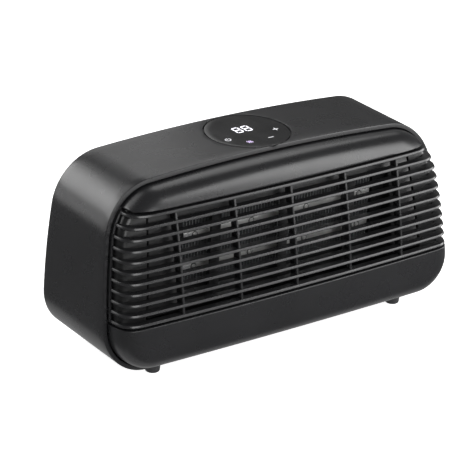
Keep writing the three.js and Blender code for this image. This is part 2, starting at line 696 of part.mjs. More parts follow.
const ductTop = DUCT.high + DUCT.wall + GAP;
add('thermal_cutout', turned('z', [-70, -20], [
  [0, ductTop], [9, ductTop], [9, ductTop + 1.5],
  [7.5, ductTop + 1.5], [7.5, ductTop + 8], [0, ductTop + 8],
]), STEEL);
add('thermal_fuse', rod('x', [-20, ductTop + 2.2], 2, -48, -34, 12), STEEL);

// ---------- blower ----------
const polar = (radius, degrees) => [
  AXIS.y + radius * Math.cos(rad(degrees)), AXIS.z + radius * Math.sin(rad(degrees))];

function fanHousing() {
  const { plate, wall, front, rear } = HOUSING;
  const low = DUCT.low - DUCT.wall;
  const high = DUCT.high + DUCT.wall;
  const guide = [];
  const guideBack = [];
  for (let degrees = 40; degrees >= -90; degrees -= 13) {
    const radius = 28.5 + (10 * (40 - degrees)) / 130;
    guide.push(polar(radius, degrees));
    guideBack.push(polar(radius + 1.8, degrees));
  }
  guide.push([front, low + 2]);
  guideBack.push([front, low]);
  const scroll = solid(prismX([...guide, ...guideBack.reverse()], -plate - 1, plate + 1));
  const tongue = solid(prismX([
    [front, high], [AXIS.y - 12, high], polar(31, 118), polar(28.5, 124), polar(31, 130), [front, high - 2],
  ], -plate - 1, plate + 1));
  const plates = [-1, 1].map((side) => {
    const [from, to] = side < 0 ? [-plate - wall, -plate] : [plate, plate + wall];
    const sheet = solid(prismX([[front, low], [rear, low], [rear, high], [front, high]], from, to));
    return sheet.subtract(solid(rod('x', [AXIS.y, AXIS.z], side < 0 ? 10 : 6, from - 1, to + 1)));
  });
  return join([scroll, tongue, ...plates]);
}
add('fan_housing', fanHousing(), DARK_PLASTIC);

function fanWheel() {
  const { radius, inner, halfLength, blades } = WHEEL;
  const bore = SHAFT_RADIUS + GAP;
  const disc = (x, from) => solid(turned('x', [AXIS.y, AXIS.z], ringProfile(from, radius, x, x + 1.6), 24));
  const hubs = [-halfLength, halfLength - 12].map((x) =>
    solid(turned('x', [AXIS.y, AXIS.z], ringProfile(bore, 6, x, x + 12), 12)));
  const parts = [disc(-halfLength, bore), disc(halfLength - 1.6, bore), disc(-0.8, inner), ...hubs];
  for (let k = 0; k < blades; k += 1) {
    const turn = (360 * k) / blades;
    const outer = [];
    const under = [];
    for (let i = 0; i <= 3; i += 1) {
      const r = inner + ((radius - 0.4 - inner) * i) / 3;
      const sweep = 14 * (i / 3) ** 2;
      outer.push(polar(r, turn + sweep));
      under.push(polar(r, turn + sweep + 3.4));
    }
    parts.push(solid(prismX([...outer, ...under.reverse()], -halfLength + 0.8, halfLength - 0.8)));
  }
  return join(parts);
}
add('fan_wheel', fanWheel(), DARK_PLASTIC);
add('fan_shaft', rod('x', [AXIS.y, AXIS.z], SHAFT_RADIUS, -113, 146, 20), STEEL);

const bushBore = SHAFT_RADIUS + GAP;
add('bearing_mount', turned('x', [AXIS.y, AXIS.z], ringProfile(5.35, 9.65, -108.5, -104.5)), RUBBER);
add('shaft_bush', turned('x', [AXIS.y, AXIS.z], ringProfile(bushBore, 5, -110, -103.8)), COPPER);

// Motor: laminated stack with the rotor in its bore and the coil round its lower limb
function rectangle(points) {
  return new THREE.Path(points.map(([y, z]) => new THREE.Vector2(y, z)));
}
function motorStack() {
  const { half, bore, halfY, top, bottom, windowY, windowTop, windowLow } = STACK;
  const hole = new THREE.Path();
  hole.absarc(AXIS.y, AXIS.z, bore, 0, Math.PI * 2, true);
  const window = rectangle([
    [AXIS.y - windowY, AXIS.z - windowTop], [AXIS.y + windowY, AXIS.z - windowTop],
    [AXIS.y + windowY, AXIS.z - windowLow], [AXIS.y - windowY, AXIS.z - windowLow],
  ]);
  return prismX([
    [AXIS.y - halfY, AXIS.z - bottom], [AXIS.y + halfY, AXIS.z - bottom],
    [AXIS.y + halfY, AXIS.z + top], [AXIS.y - halfY, AXIS.z + top],
  ], MOTOR.x - half, MOTOR.x + half, [hole, window]);
}
add('motor_stack', motorStack(), STEEL);

function motorCoil() {
  const outer = solid(box(
    [MOTOR.x - 16, AXIS.y - 12, AXIS.z - 53], [MOTOR.x + 16, AXIS.y + 12, AXIS.z - 19]));
  const limb = solid(box(
    [MOTOR.x - STACK.half - GAP, AXIS.y - 30, AXIS.z - STACK.bottom - GAP],
    [MOTOR.x + STACK.half + GAP, AXIS.y + 30, AXIS.z - STACK.windowLow + GAP]));
  const body = solid(box(
    [MOTOR.x - STACK.half - GAP, AXIS.y - 30, AXIS.z - STACK.windowTop - GAP],
    [MOTOR.x + STACK.half + GAP, AXIS.y + 30, AXIS.z]));
  return cut(outer, [limb, body]);
}
add('motor_coil', motorCoil(), COPPER);
add('motor_rotor', turned('x', [AXIS.y, AXIS.z],
  ringProfile(bushBore, STACK.bore - 0.5, MOTOR.x - 11, MOTOR.x + 11)), ALUMINIUM);

for (const [name, x] of [['in', MOTOR.bracketIn], ['out', MOTOR.bracketOut]]) {
  const plate = solid(box([x, AXIS.y - 21, AXIS.z - 17], [x + MOTOR.plate, AXIS.y + 21, AXIS.z + 19]));
  const hole = solid(rod('x', [AXIS.y, AXIS.z], 4.35, x - 1, x + 4));
  add(`motor_bracket_${name}`, plate.subtract(hole), STEEL);
  const ring = ringProfile(bushBore, 4, x - 0.7, x + 2.3);
  add(`motor_bush_${name}`, turned('x', [AXIS.y, AXIS.z], ring), COPPER);
}

// ---------- power board ----------
add('power_board', box([POWER.x, POWER.y[0], POWER.z[0]], [POWER.x + POWER.thick, POWER.y[1], POWER.z[1]]),
  BOARD_GREEN);
const boardFace = POWER.x - GAP;
RELAY_LEVELS.forEach((z, i) =>
  add(`relay_${i + 1}`, box([boardFace - 15, -12, z], [boardFace, 8, z + 16]), RELAY_BLUE));
add('filter_capacitor', box([boardFace - 10, 16, 70], [boardFace, 34, 86]), RELAY_BLUE);
add('terminal_block', box([boardFace - 12, -12, 30], [boardFace, 18, 42]), DARK_PLASTIC);

// ---------- tip-over switch ----------
const tipLow = chassisTop + GAP;
function tipSwitchBody() {
  const { high, halfX, halfY, wall, bore: cavity } = TIP_BODY;
  const shell = solid(box([TIP.x - halfX, TIP.y - halfY, tipLow], [TIP.x + halfX, TIP.y + halfY, high]));
  const bore = solid(turned('z', [TIP.x, TIP.y], [
    [0, tipLow - 1], [TIP.bore, tipLow - 1], [TIP.bore, tipLow + wall], [cavity, tipLow + wall],
    [cavity, high - wall], [0, high - wall],
  ]));
  return shell.subtract(bore);
}
add('tip_switch_body', tipSwitchBody(), DARK_PLASTIC);
const collar = tipLow + TIP_BODY.wall + TIP.travel + GAP;
add('tip_switch_plunger', turned('z', [TIP.x, TIP.y], [
  [0, FOOT.sole + 0.3], [1.6, FOOT.sole + 0.3], [2.5, FOOT.sole + 1.2], [2.5, collar],
  [4.5, collar], [4.5, collar + 1.4], [2.5, collar + 1.4],
  [2.5, collar + 3.5], [0, collar + 3.5],
]), RELAY_BLUE);

// ---------- rear switch and cord gland ----------
const bezelFace = REAR_FACE + GAP;
function rockerBezel() {
  const flange = solid(box(
    [ROCKER.x - 13, bezelFace, ROCKER.z - 9.5], [ROCKER.x + 13, bezelFace + 1.3, ROCKER.z + 9.5]));
  const sleeve = solid(box(
    [ROCKER.x - ROCKER_HOLE.halfX + GAP, REAR_FACE - 12, ROCKER.z - ROCKER_HOLE.halfZ + GAP],
    [ROCKER.x + ROCKER_HOLE.halfX - GAP, bezelFace + 0.5, ROCKER.z + ROCKER_HOLE.halfZ - GAP]));
  const bore = solid(box(
    [ROCKER.x - 9, REAR_FACE - 10.5, ROCKER.z - 5.6], [ROCKER.x + 9, 80, ROCKER.z + 5.6]));
  return cut(join([flange, sleeve]), [bore]);
}
add('power_switch_bezel', rockerBezel(), DARK_PLASTIC);

function rockerPaddle() {
  // Section in the plane across the pivot, with the pivot at its origin
  const section = [[-4, -2.2], [-1.5, -5.0], [2.2, -5.0], [1.2, 0], [2.2, 5.0], [-1.5, 5.0], [-4, 2.2]];
  const geometry = prismX(section, -8.6, 8.6);
  return geometry.rotateX(rad(-ROCKER.tilt)).translate(ROCKER.x, REAR_FACE + ROCKER.pivot, ROCKER.z);
}
add('power_switch', rockerPaddle(), DARK_PLASTIC);

add('cord_gland', turned('y', [GLAND.x, GLAND.z], [
  [GLAND.bore, REAR_FACE - 8], [GLAND.neck, REAR_FACE - 8], [GLAND.neck, bezelFace],
  [GLAND.flange, bezelFace], [GLAND.flange, bezelFace + 1], [GLAND.flange - 2, bezelFace + 3],
  [GLAND.bore, bezelFace + 3], [GLAND.bore, REAR_FACE - 8],
]), RUBBER);

heater.position.set(0, DATUM.y, DATUM.z);
export default heater;
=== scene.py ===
import json
from math import acos, atan2, cos, hypot, pi, radians, sin, sqrt, tan
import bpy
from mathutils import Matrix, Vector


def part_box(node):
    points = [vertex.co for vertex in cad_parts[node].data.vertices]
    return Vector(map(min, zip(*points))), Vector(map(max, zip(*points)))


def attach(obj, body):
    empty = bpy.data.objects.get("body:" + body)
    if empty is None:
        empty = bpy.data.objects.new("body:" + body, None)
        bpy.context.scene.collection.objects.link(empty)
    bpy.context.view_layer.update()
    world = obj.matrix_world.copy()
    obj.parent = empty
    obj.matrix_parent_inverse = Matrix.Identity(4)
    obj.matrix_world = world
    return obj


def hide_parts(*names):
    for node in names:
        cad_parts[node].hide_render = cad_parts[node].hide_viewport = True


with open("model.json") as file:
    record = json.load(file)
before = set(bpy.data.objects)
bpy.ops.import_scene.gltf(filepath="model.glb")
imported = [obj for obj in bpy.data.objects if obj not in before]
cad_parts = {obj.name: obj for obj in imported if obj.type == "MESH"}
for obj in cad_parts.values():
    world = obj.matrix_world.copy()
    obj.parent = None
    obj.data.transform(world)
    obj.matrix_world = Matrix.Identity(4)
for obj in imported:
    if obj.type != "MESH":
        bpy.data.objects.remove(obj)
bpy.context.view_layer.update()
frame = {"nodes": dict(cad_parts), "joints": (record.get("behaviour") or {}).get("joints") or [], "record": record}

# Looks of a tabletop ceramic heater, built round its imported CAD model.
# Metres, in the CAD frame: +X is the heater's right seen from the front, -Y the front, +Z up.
from types import SimpleNamespace

import bmesh
import bpy
from mathutils import Matrix, Vector

MM = 0.001
SHARP = 35  # degrees between faces from which an edge counts as sharp


def lengths(**values):
    """Named lengths in metres, given in millimetres."""
    return SimpleNamespace(**{name: value * MM for name, value in values.items()})


# --- the case outline and the two curved covers, as in the CAD model ---
CASE_LOW, CASE_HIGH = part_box("case_shell")
CASE_ARCS = ((1.855, 3.7), (0.0463, 80.35), (0.588, 87.43), (0.0375, 180.0))  # radius, end angle
ARC_STEPS = (18, 26, 10, 26)
BOTTOM_STEPS = 18
CASE = lengths(wall=3.2, lip=3.6, lip_round=0.8, lip_depth=2, chamfer=0.3)
PLUNGER_HOLE = ((0, -1), (3.3, -1), (3, 0.3), (3, 6), (0, 6))  # mm, radius and height
RIM_LEAN = 0.169
BACK_LEAN = 0.0351
RIM_BASE = CASE_LOW.y - RIM_LEAN * (CASE_LOW.z + CASE.lip_round)
BACK_BASE = CASE_HIGH.y - BACK_LEAN * CASE_HIGH.z

FRONT_FACE = -53.3 * MM
FRONT_LEVEL = 92.6 * MM
FRONT_LEAN, FRONT_CROWN, FRONT_BOW = 0.207, 0.9718, 0.1362
FRONT_ROUND = (20 * MM, 2.94)  # reach of the rounded edge, and the power of its section
SOFT_CHIN = (37.5 * MM, 11.5 * MM, 2.3)  # towards the bottom the section softens to this power
REAR_ROUND = (11 * MM, 2.2)
REAR_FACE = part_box("rear_cover")[1].y
COVER = lengths(inset=4.5, wall=2.4, flange=9, strip_front=1, edge=0.6)
ROUND_STEPS = 18
VISOR_ROWS, VISOR_CROWD = 22, 1.9  # the rows crowd towards the outline by this power

# --- grille ---
SLAT_COUNT, RIB_COUNT = 11, 5
SLAT = lengths(top=136.6, pitch=8.2, thick=2.2, depth=7.5, edge=0.45, taper=0.4, ease=0.25)
SLAT_LEAN = 153  # degrees, of the slat's front
SLAT_BOTTOM = SLAT.top - (SLAT_COUNT - 1) * SLAT.pitch
GROOVE = 1.8 * MM
WINDOW = (SLAT_BOTTOM - SLAT.thick / 2 - GROOVE, SLAT.top + SLAT.thick / 2 + GROOVE)
RIB = lengths(pitch=54.8, thick=2, setback=1.9, depth=10, edge=0.5)
BORDER = lengths(width=2.3, depth=2.85, edge=0.4, proud=0.775)

# --- outlet panel behind the grille ---
PANEL = lengths(setback=14.3, thick=2, bend=1.2, bottom=57, top=140.5, reach=142.3)
PANEL_TAPER = 0.1
LEDGE = lengths(level=54.5, depth=4, thick=1)
CHEEK = lengths(slit=1.3, gap=0.3, round=6, sheet=1.2, reach=6)
POST = lengths(pitch=67, y=-33.5, width=9.5, depth=2.4, edge=0.8)
DUCT = lengths(gap=0.35, wall=2, corner=1.5)
DUCT_LOW, DUCT_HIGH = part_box("block_frame")
DUCT_HALF = DUCT_HIGH.x + DUCT.gap
DUCT_LEVELS = (DUCT_LOW.z - DUCT.gap, DUCT_HIGH.z + DUCT.gap)

# --- heating block ---
FIN_ROWS, BAR_COUNT, STUD_COUNT = 4, 2, 4
FIN = lengths(pitch=2.9, sheet=0.5, setback=0.2)
BAR = lengths(setback=0.7, edge=0.7)
STUD = ((0, -0.7), (1.5, -0.7), (2, -0.25), (2, 1), (0, 1))  # mm, radius and depth from the bar's face
WASHER = ((2.05, -0.12), (2.8, -0.12), (2.8, 0.5), (2.05, 0.5))
CLIP = lengths(length=7.5, half=2.2, proud=0.5, sunk=0.3, edge=0.25)

# --- touch disc and its symbols ---
DISC_LOW, DISC_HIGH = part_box("control_disc")
DISC_CENTRE = (DISC_LOW + DISC_HIGH) / 2
DISC_RADIUS = (DISC_HIGH.x - DISC_LOW.x) / 2
DISC = lengths(gap=1.1, sink=0.15, edge=0.2)
POCKET = lengths(depth=2.2, edge=0.15, seat=3)
INK_LEVELS = (-0.05 * MM, 0.03 * MM)
DISPLAY = lengths(left=-9.6, bottom=19.6, width=6.9, height=11.4, pitch=8.9, thick=1.4, gap=0.18)
KEYS = {"power": (-24.8, 12.4), "mode": (-12, 0.4), "minus": (8.8, 0.1), "plus": (22.9, 12.9)}  # mm
KEY = lengths(line=0.75, arm=2.4, ring=2.3, stem_low=0.4, stem_high=2.9)
WAVE = lengths(pitch=1.6, swing=0.55, height=3.8)

# --- feet, screws, rear cover, switch and gland ---
FOOT = lengths(taper=0.5, bore=3.8, seat=3.25, screw=1.9, edge=1.1, ease=0.2)
HEAD = ((0, 0), (1.5, 0.05), (2.5, 0.35), (3.1, 0.9), (3.4, 1.6), (3.4, 2.2), (1.5, 2.2))  # mm
THREAD = lengths(start=2.4, pitch=1.1, root=1.1, core=1.15, crest=1.5, tip=0.4)
CROSS = lengths(half=0.38, arm=1.8, deep=1.3)
INTAKE_COLUMNS, INTAKE_ROWS = 4, 8
INTAKE = lengths(pitch_x=62, slot=54, pitch_z=9.6, low=60.5, height=4.4, corner=2.1)
REAR_CUT = lengths(flare=0.45, through=12, gland=5.85)
SWITCH_HOLE = (21 * MM, 14 * MM)
SCREW_POCKET = ((0, -20), (2, -20), (2, -1.2), (4.2, -1.2), (4.2, -0.3), (5.5, 1), (0, 1))  # mm
ROCKER = lengths(face=1.2, dish=4.5)  # the face rises by 1 mm at the dish length from its middle
MARK = lengths(x=4.2, half=1.4, line=0.3, outer=1.5, inner=0.95)
GLAND = lengths(bore=3.8, neck=5.5, top=6.2, rim=5.6, seat=0.35, ease=0.3, round_top=0.5)

# --- blower wheel ---
BLADES = 34
BLADE_SWEEP, BLADE_TURN = radians(16), radians(1.8)
WHEEL = lengths(blade=8, gap=0.3, bore=2.85, hub=6, hub_length=12, disc=1.4)

# --- eased edges of the CAD nodes ---
EASE = 0.3 * MM
THIN_EASE = {"fin_divider": 0.1 * MM, "terminal_1": 0.15 * MM, "terminal_2": 0.15 * MM}

# --- stage ---
FLOOR_HALF = 20.0
WORLD_STRENGTH = 0.15
LIGHT_CENTRE = Vector((0.0, 0.0, 0.08))
LIGHT_DISTANCE = 1.7
# name, azimuth from the front, elevation, radiance, (width, height)
SOFTBOXES = (
    ("rim_left", 206, 26, 5.0, (0.74, 0.72)),
    ("side_left", 233, 29, 4.4, (0.72, 0.8)),
    ("low_left", 222, 5, 1.8, (0.7, 0.4)),
    ("high_left", 205, 50, 1.4, (0.9, 0.72)),
    ("back", 161, 27, 0.9, (0.72, 0.72)),
    ("back_high", 134, 46, 1.8, (0.72, 0.72)),
    ("front", 352, 27, 6.0, (1.1, 0.72)),
    ("front_right", 48, 30, 6.0, (0.74, 1.25)),
    ("low_front", 32, 5, 2.4, (0.9, 0.4)),
    ("right_low", 74, 6, 7.0, (0.72, 0.72)),
)
# light thrown back up by the white floor close round the heater
BOUNCE_SPOT, BOUNCE_RADIANCE, BOUNCE_SIZE = (0.0, 0.017, 0.0005), 0.33, (0.38, 0.17)

# --- camera ---
CAMERA = {"target": (-21.94 * MM, 7.4 * MM, 82.56 * MM), "distance": 1.7746,
          "azimuth": -36.926, "elevation": 24.064, "roll": 2.996, "lens": 170.9}


def direction(azimuth, elevation):
    """Unit vector towards an azimuth and elevation in degrees, with azimuth 0 at the front."""
    turn, rise = radians(azimuth), radians(elevation)
    return Vector((sin(turn) * cos(rise), -cos(turn) * cos(rise), sin(rise)))


def new_object(name, data):
    obj = bpy.data.objects.new(name, data)
    bpy.context.scene.collection.objects.link(obj)
    return obj


def make_camera():
    """Camera at the azimuth and elevation of the product view, with a slight roll."""
    roll = radians(CAMERA["roll"])
    back = direction(CAMERA["azimuth"], CAMERA["elevation"])
    level = (-back).cross(Vector((0, 0, 1))).normalized()
    above = level.cross(-back)
    right = level * cos(roll) + above * sin(roll)
    up = above * cos(roll) - level * sin(roll)
    data = bpy.data.cameras.new("camera")
    data.lens = CAMERA["lens"]
    data.sensor_width = 36
    data.clip_end = 50
    camera = new_object("camera", data)
    spot = Vector(CAMERA["target"]) + back * CAMERA["distance"]
    camera.matrix_world = Matrix.Translation(spot) @ Matrix((right, up, back)).transposed().to_4x4()
    bpy.context.scene.camera = camera


make_camera()


# --- outline ---
def arc_list():
    """Tangent arcs of the right half, from the middle of the top: centre x and z, radius, start, end."""
    arcs = []
    x, z, start, before = 0.0, CASE_HIGH.z - CASE_ARCS[0][0], 0.0, CASE_ARCS[0][0]
    for radius, end in CASE_ARCS:
        x += (before - radius) * sin(start)
        z += (before - radius) * cos(start)
        arcs.append((x, z, radius, start, radians(end)))
        start, before = radians(end), radius
    return arcs


ARCS = arc_list()
CORNER_X = ARCS[3][0]


def on_arc(arc, angle, inset):
    x, z, radius = arc[:3]
    return x + (radius - inset) * sin(angle), z + (radius - inset) * cos(angle)


def spread(start, end, steps):
    """Evenly spaced values from start to end."""
    return [start + (end - start) * i / steps for i in range(steps + 1)]


def right_half(inset):
    """Outline from the middle of the top, down the right side, to the middle of the bottom."""
    points = [(0.0, CASE_HIGH.z - inset)]
    for arc, steps in zip(ARCS, ARC_STEPS):
        points += [on_arc(arc, angle, inset) for angle in spread(arc[3], arc[4], steps)[1:]]
    points += [(x, CASE_LOW.z + inset) for x in spread(CORNER_X, 0.0, BOTTOM_STEPS)[1:]]
    return points


def outline(inset):
    """Closed outline, clockwise as seen from the front."""
    half = right_half(inset)
    return half + [(-x, z) for x, z in reversed(half[1:-1])]


def half_width_at(z, inset):
    """Half the width of the outline at a height, below the crown."""
    for x0, z0, radius, start, end in ARCS[1:]:
        cosine = (z - z0) / (radius - inset)
        if abs(cosine) <= 1 and start - 1e-6 <= acos(cosine) <= end + 1e-6:
            return x0 + (radius - inset) * sin(acos(cosine))
    return 0.0


def depth_inside(x, z):
    """How far a point lies inside the outline."""
    nearest = z - CASE_LOW.z if abs(x) <= CORNER_X else 1.0
    for x0, z0, radius, start, end in ARCS:
        if start - 1e-3 <= atan2(abs(x) - x0, z - z0) <= end + 1e-3:
            nearest = min(nearest, radius - hypot(abs(x) - x0, z - z0))
    return nearest


def rounded_rise(inset, rounding):
    """How far a rounded edge has risen at an inset, from 0 at its foot to 1 at its reach."""
    reach, power = rounding
    share = min(max(inset / reach, 0.0), 1.0)
    return (1 - (1 - share) ** power) ** (1 / power)


def round_insets(rounding, steps=ROUND_STEPS):
    """Insets of the rows of a rounded edge, closer together where it turns fastest."""
    reach, power = rounding
    return [reach * (1 - cos(turn) ** (2 / power)) for turn in spread(0, pi / 2, steps)]


def rim_y(z):
    return RIM_BASE + RIM_LEAN * z


def back_y(z):
    return BACK_BASE + BACK_LEAN * z


def face_y(x, z):
    """The full bulge of the front, away from its rounded edge."""
    h = z - FRONT_LEVEL
    return FRONT_FACE + FRONT_LEAN * h + FRONT_CROWN * h * h + FRONT_BOW * x * x


def front_y(x, z, wall=0.0):
    """The front's surface: its bulge, rounded down to the rim along the outline."""
    high, low, power = SOFT_CHIN
    soft = min(max((high - z) / (high - low), 0.0), 1.0)
    reach, full = FRONT_ROUND
    rise = rounded_rise(depth_inside(x, z) - COVER.inset - wall, (reach, full + (power - full) * soft))
    return wall + rim_y(z) * (1 - rise) + face_y(x, z) * rise


def crown_z(x):
    """Height of the crowned top of the case."""
    return ARCS[0][1] + sqrt(ARCS[0][2] ** 2 - x * x)


# --- mesh helpers ---
class Shape:
    """Vertices and faces of one piece while it is put together."""

    def __init__(self):
        self.points = []
        self.faces = []

    def row(self, points):
        """Adds points and returns their indices."""
        start = len(self.points)
        self.points += [tuple(p) for p in points]
        return list(range(start, len(self.points)))

    def sheet(self, rows, closed=False):
        """Quads from each row to the next, with the rows' ends joined where they are closed."""
        for first, second in zip(rows, rows[1:]):
            count = len(first)
            for i in range(count if closed else count - 1):
                j = (i + 1) % count
                self.faces.append((first[i], first[j], second[j], second[i]))

    def loft(self, rings, looped=False):
        """Skin over closed rings. Its ends are capped, or joined to each other where it is looped."""
        rows = [self.row(ring) for ring in rings]
        self.sheet(rows + rows[:1] if looped else rows, closed=True)
        if not looped:
            self.faces += [tuple(rows[0]), tuple(rows[-1])]

    def box(self, low, high):
        self.loft([[(x, low[1], low[2]), (x, high[1], low[2]), (x, high[1], high[2]), (x, low[1], high[2])]
                   for x in (low[0], high[0])])

    def turn(self, put, profile, segments, looped=False):
        """Turned form: profile of (radius, height), put in place by put(radius, angle, height)."""
        self.loft([[put(radius, 2 * pi * k / segments, height) for k in range(segments)]
                   for radius, height in profile], looped)


def about(axis, first, second):
    """Puts a turned form's (radius, angle, height) about an axis through the other two coordinates."""
    def put(radius, angle, height):
        spot = [first + radius * cos(angle), second + radius * sin(angle)]
        spot.insert("xyz".index(axis), height)
        return spot
    return put


def in_mm(profile, start=0.0):
    """Profile in metres from one in millimetres, with its heights counted from start."""
    return [(radius * MM, start + height * MM) for radius, height in profile]


def flat(section, z, x=0.0, y=0.0):
    """Ring of a section of (x, y) corners, moved by x and y, at the height z."""
    return [(x + across, y + along, z) for across, along in section]


def centre_of(node):
    low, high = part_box(node)
    return (low + high) / 2


def fillet(centre, radius, start, end, steps=4):
    """Points round an arc in a profile plane, with angles in degrees."""
    return [(centre[0] + radius * cos(radians(a)), centre[1] + radius * sin(radians(a)))
            for a in spread(start, end, steps)]


def round_box(width, height, radius, steps=3):
    """Rectangle with round corners about the origin."""
    x, y = width / 2 - radius, height / 2 - radius
    corners = ((x, y, 0), (-x, y, 90), (-x, -y, 180), (x, -y, 270))
    return [p for cx, cy, angle in corners for p in fillet((cx, cy), radius, angle, angle + 90, steps)]


def clean(mesh, sharp):
    """Merges doubled points, turns the faces outwards and shades smooth up to an angle in degrees."""
    net = bmesh.new()
    net.from_mesh(mesh)
    bmesh.ops.remove_doubles(net, verts=net.verts, dist=2e-6)
    bmesh.ops.dissolve_degenerate(net, edges=net.edges, dist=1e-7)
    bmesh.ops.recalc_face_normals(net, faces=net.faces)
    net.to_mesh(mesh)
    net.free()
    mesh.shade_smooth()
    mesh.set_sharp_from_angle(angle=radians(sharp))


def mesh_object(name, shape, sharp=SHARP):
    mesh = bpy.data.meshes.new(name)
    mesh.from_pydata(shape.points, [], shape.faces)
    clean(mesh, sharp)
    return new_object(name, mesh)


def carve(obj, shape):
    """Cuts closed forms out of a piece."""
    cutter = mesh_object("cutter", shape)
    cut = obj.modifiers.new("cut", "BOOLEAN")
    cut.object = cutter
    cut.operation = "DIFFERENCE"
    cut.solver = "EXACT"
    bpy.context.view_layer.update()
    carved = bpy.data.meshes.new_from_object(obj.evaluated_get(bpy.context.evaluated_depsgraph_get()))
    obj.modifiers.clear()
    before = obj.data
    obj.data = carved
    carved.name = obj.name
    bpy.data.meshes.remove(before)
    bpy.data.objects.remove(cutter)
    clean(carved, SHARP)


def soften(obj, width):
    """Rounds the sharp edges of a piece."""
    bevel = obj.modifiers.new("edges", "BEVEL")
    bevel.width = width
    bevel.segments = 2
    bevel.limit_method = "ANGLE"
    bevel.angle_limit = radians(SHARP)
    bevel.harden_normals = True


def place(obj, material, slot, *nodes, body="housing"):
    """Gives a finished piece its material, the body it rides on, and the CAD nodes it stands for."""
    obj.data.materials.clear()
    obj.data.materials.append(material)
    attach(obj, body)
    if nodes:
        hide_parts(*nodes)


def piece(name, shape, material, slot, *nodes, sharp=SHARP, body="housing"):
    """Makes a piece from a shape and puts it in place."""
    obj = mesh_object(name, shape, sharp)
    place(obj, material, slot, *nodes, body=body)
    return obj


# --- materials ---
class Nodes:
    """Short way to wire a node material."""

    def __init__(self, name):
        self.material = bpy.data.materials.new(name)
        self.material.use_nodes = True
        self.tree = self.material.node_tree
        self.position = self.add("TexCoord", {}).outputs["Object"]

    def feed(self, socket, value):
        """Sets a plain number or colour on a socket, or links what comes from a node."""
        if hasattr(value, "node"):
            self.tree.links.new(value, socket)
        else:
            socket.default_value = (*value, 1) if socket.type == "RGBA" else value

    def add(self, kind, inputs, **settings):
        node = self.tree.nodes.new("ShaderNode" + kind)
        for key, value in settings.items():
            setattr(node, key, value)
        for key, value in inputs.items():
            self.feed(node.inputs[key], value)
        return node

    def stretched(self, scale):
        return self.add("Mapping", {"Scale": scale, "Vector": self.position}).outputs["Vector"]

    def noise(self, scale, detail, vector=None, roughness=0.5):
        return self.add("TexNoise", {"Scale": scale, "Detail": detail, "Roughness": roughness,
                                     "Vector": vector or self.position}).outputs["Fac"]

    def ramp(self, factor, start, first, end, second):
        """Greys or colours from first, up to start, to second, from end."""
        node = self.add("ValToRGB", {"Fac": factor})
        for point, position, value in zip(node.color_ramp.elements, (start, end), (first, second)):
            point.position = position
            point.color = (*value, 1) if isinstance(value, tuple) else (value, value, value, 1)
        return node.outputs["Color"]

    def mix(self, factor, first, second):
        return self.add("Mix", {0: factor, 6: first, 7: second}, data_type="RGBA").outputs[2]

    def bump(self, height, distance):
        return self.add("Bump", {"Height": height, "Distance": distance, "Strength": 1.0}).outputs["Normal"]

    def finish(self, **values):
        """Feeds the shader's inputs, named with _ for spaces, and returns the material."""
        for key, value in values.items():
            self.feed(self.tree.nodes["Principled BSDF"].inputs[key.replace("_", " ")], value)
        return self.material


def shade(colour, factor):
    return tuple(channel * factor for channel in colour)


def moulded(name, colour, rough, grain=0.00045, depth=0.000008, specular=0.5):
    """Spark-textured moulded plastic: fine grain, faint flow variation, slightly uneven gloss."""
    n = Nodes(name)
    grains = n.noise(1 / grain, 2, roughness=0.6)
    tone = n.ramp(n.noise(14, 3), 0.3, shade(colour, 0.88), 0.7, shade(colour, 1.12))
    dusted = n.mix(n.ramp(grains, 0.45, 0.0, 0.8, 0.15), tone, shade(colour, 1.7))
    gloss = n.ramp(n.noise(38, 4), 0.25, rough - 0.03, 0.75, rough + 0.03)
    return n.finish(Base_Color=dusted, Roughness=gloss, Normal=n.bump(grains, depth),
                    Specular_IOR_Level=specular)


def glossy(name, colour, rough):
    """Polished plastic with a faint orange peel and fine dust in its gloss."""
    n = Nodes(name)
    haze = n.noise(60, 5)
    tone = n.ramp(haze, 0.3, shade(colour, 0.85), 0.7, shade(colour, 1.2))
    gloss = n.ramp(haze, 0.3, rough * 0.85, 0.75, rough * 1.25)
    return n.finish(Base_Color=tone, Roughness=gloss, Normal=n.bump(n.noise(420, 1), 0.000006),
                    Coat_Weight=0.1, Coat_Roughness=0.2)


def rubber(name, colour):
    """Matt rubber with fine pores and paler wear."""
    n = Nodes(name)
    pores = n.noise(1500, 4)
    tone = n.ramp(n.noise(90, 3), 0.35, colour, 0.8, shade(colour, 2.2))
    gloss = n.ramp(pores, 0.3, 0.7, 0.7, 0.88)
    return n.finish(Base_Color=tone, Roughness=gloss, Normal=n.bump(pores, 0.00004))


def metal(name, colour, rough, grain=(60, 60, 4000), depth=0.000012):
    """Metal with a drawn or rolled grain: the grain runs along the axes with the small numbers."""
    n = Nodes(name)
    lines = n.noise(1, 3, n.stretched(grain))
    tone = n.ramp(n.noise(120, 3), 0.3, shade(colour, 0.8), 0.7, colour)
    gloss = n.ramp(lines, 0.3, rough - 0.06, 0.7, rough + 0.08)
    return n.finish(Base_Color=tone, Roughness=gloss, Normal=n.bump(lines, depth), Metallic=1.0)


def circuit_board(name):
    """Green solder mask over copper tracks."""
    n = Nodes(name)
    cells = n.add("TexVoronoi", {"Scale": 420, "Vector": n.position}, feature="DISTANCE_TO_EDGE")
    tracks = n.ramp(cells.outputs["Distance"], 0.02, 1.0, 0.06, 0.0)
    green = n.ramp(n.noise(50, 3), 0.3, (0.006, 0.045, 0.018), 0.7, (0.01, 0.07, 0.028))
    return n.finish(Base_Color=n.mix(tracks, green, (0.03, 0.16, 0.06)), Roughness=0.35,
                    Normal=n.bump(tracks, 0.00003))


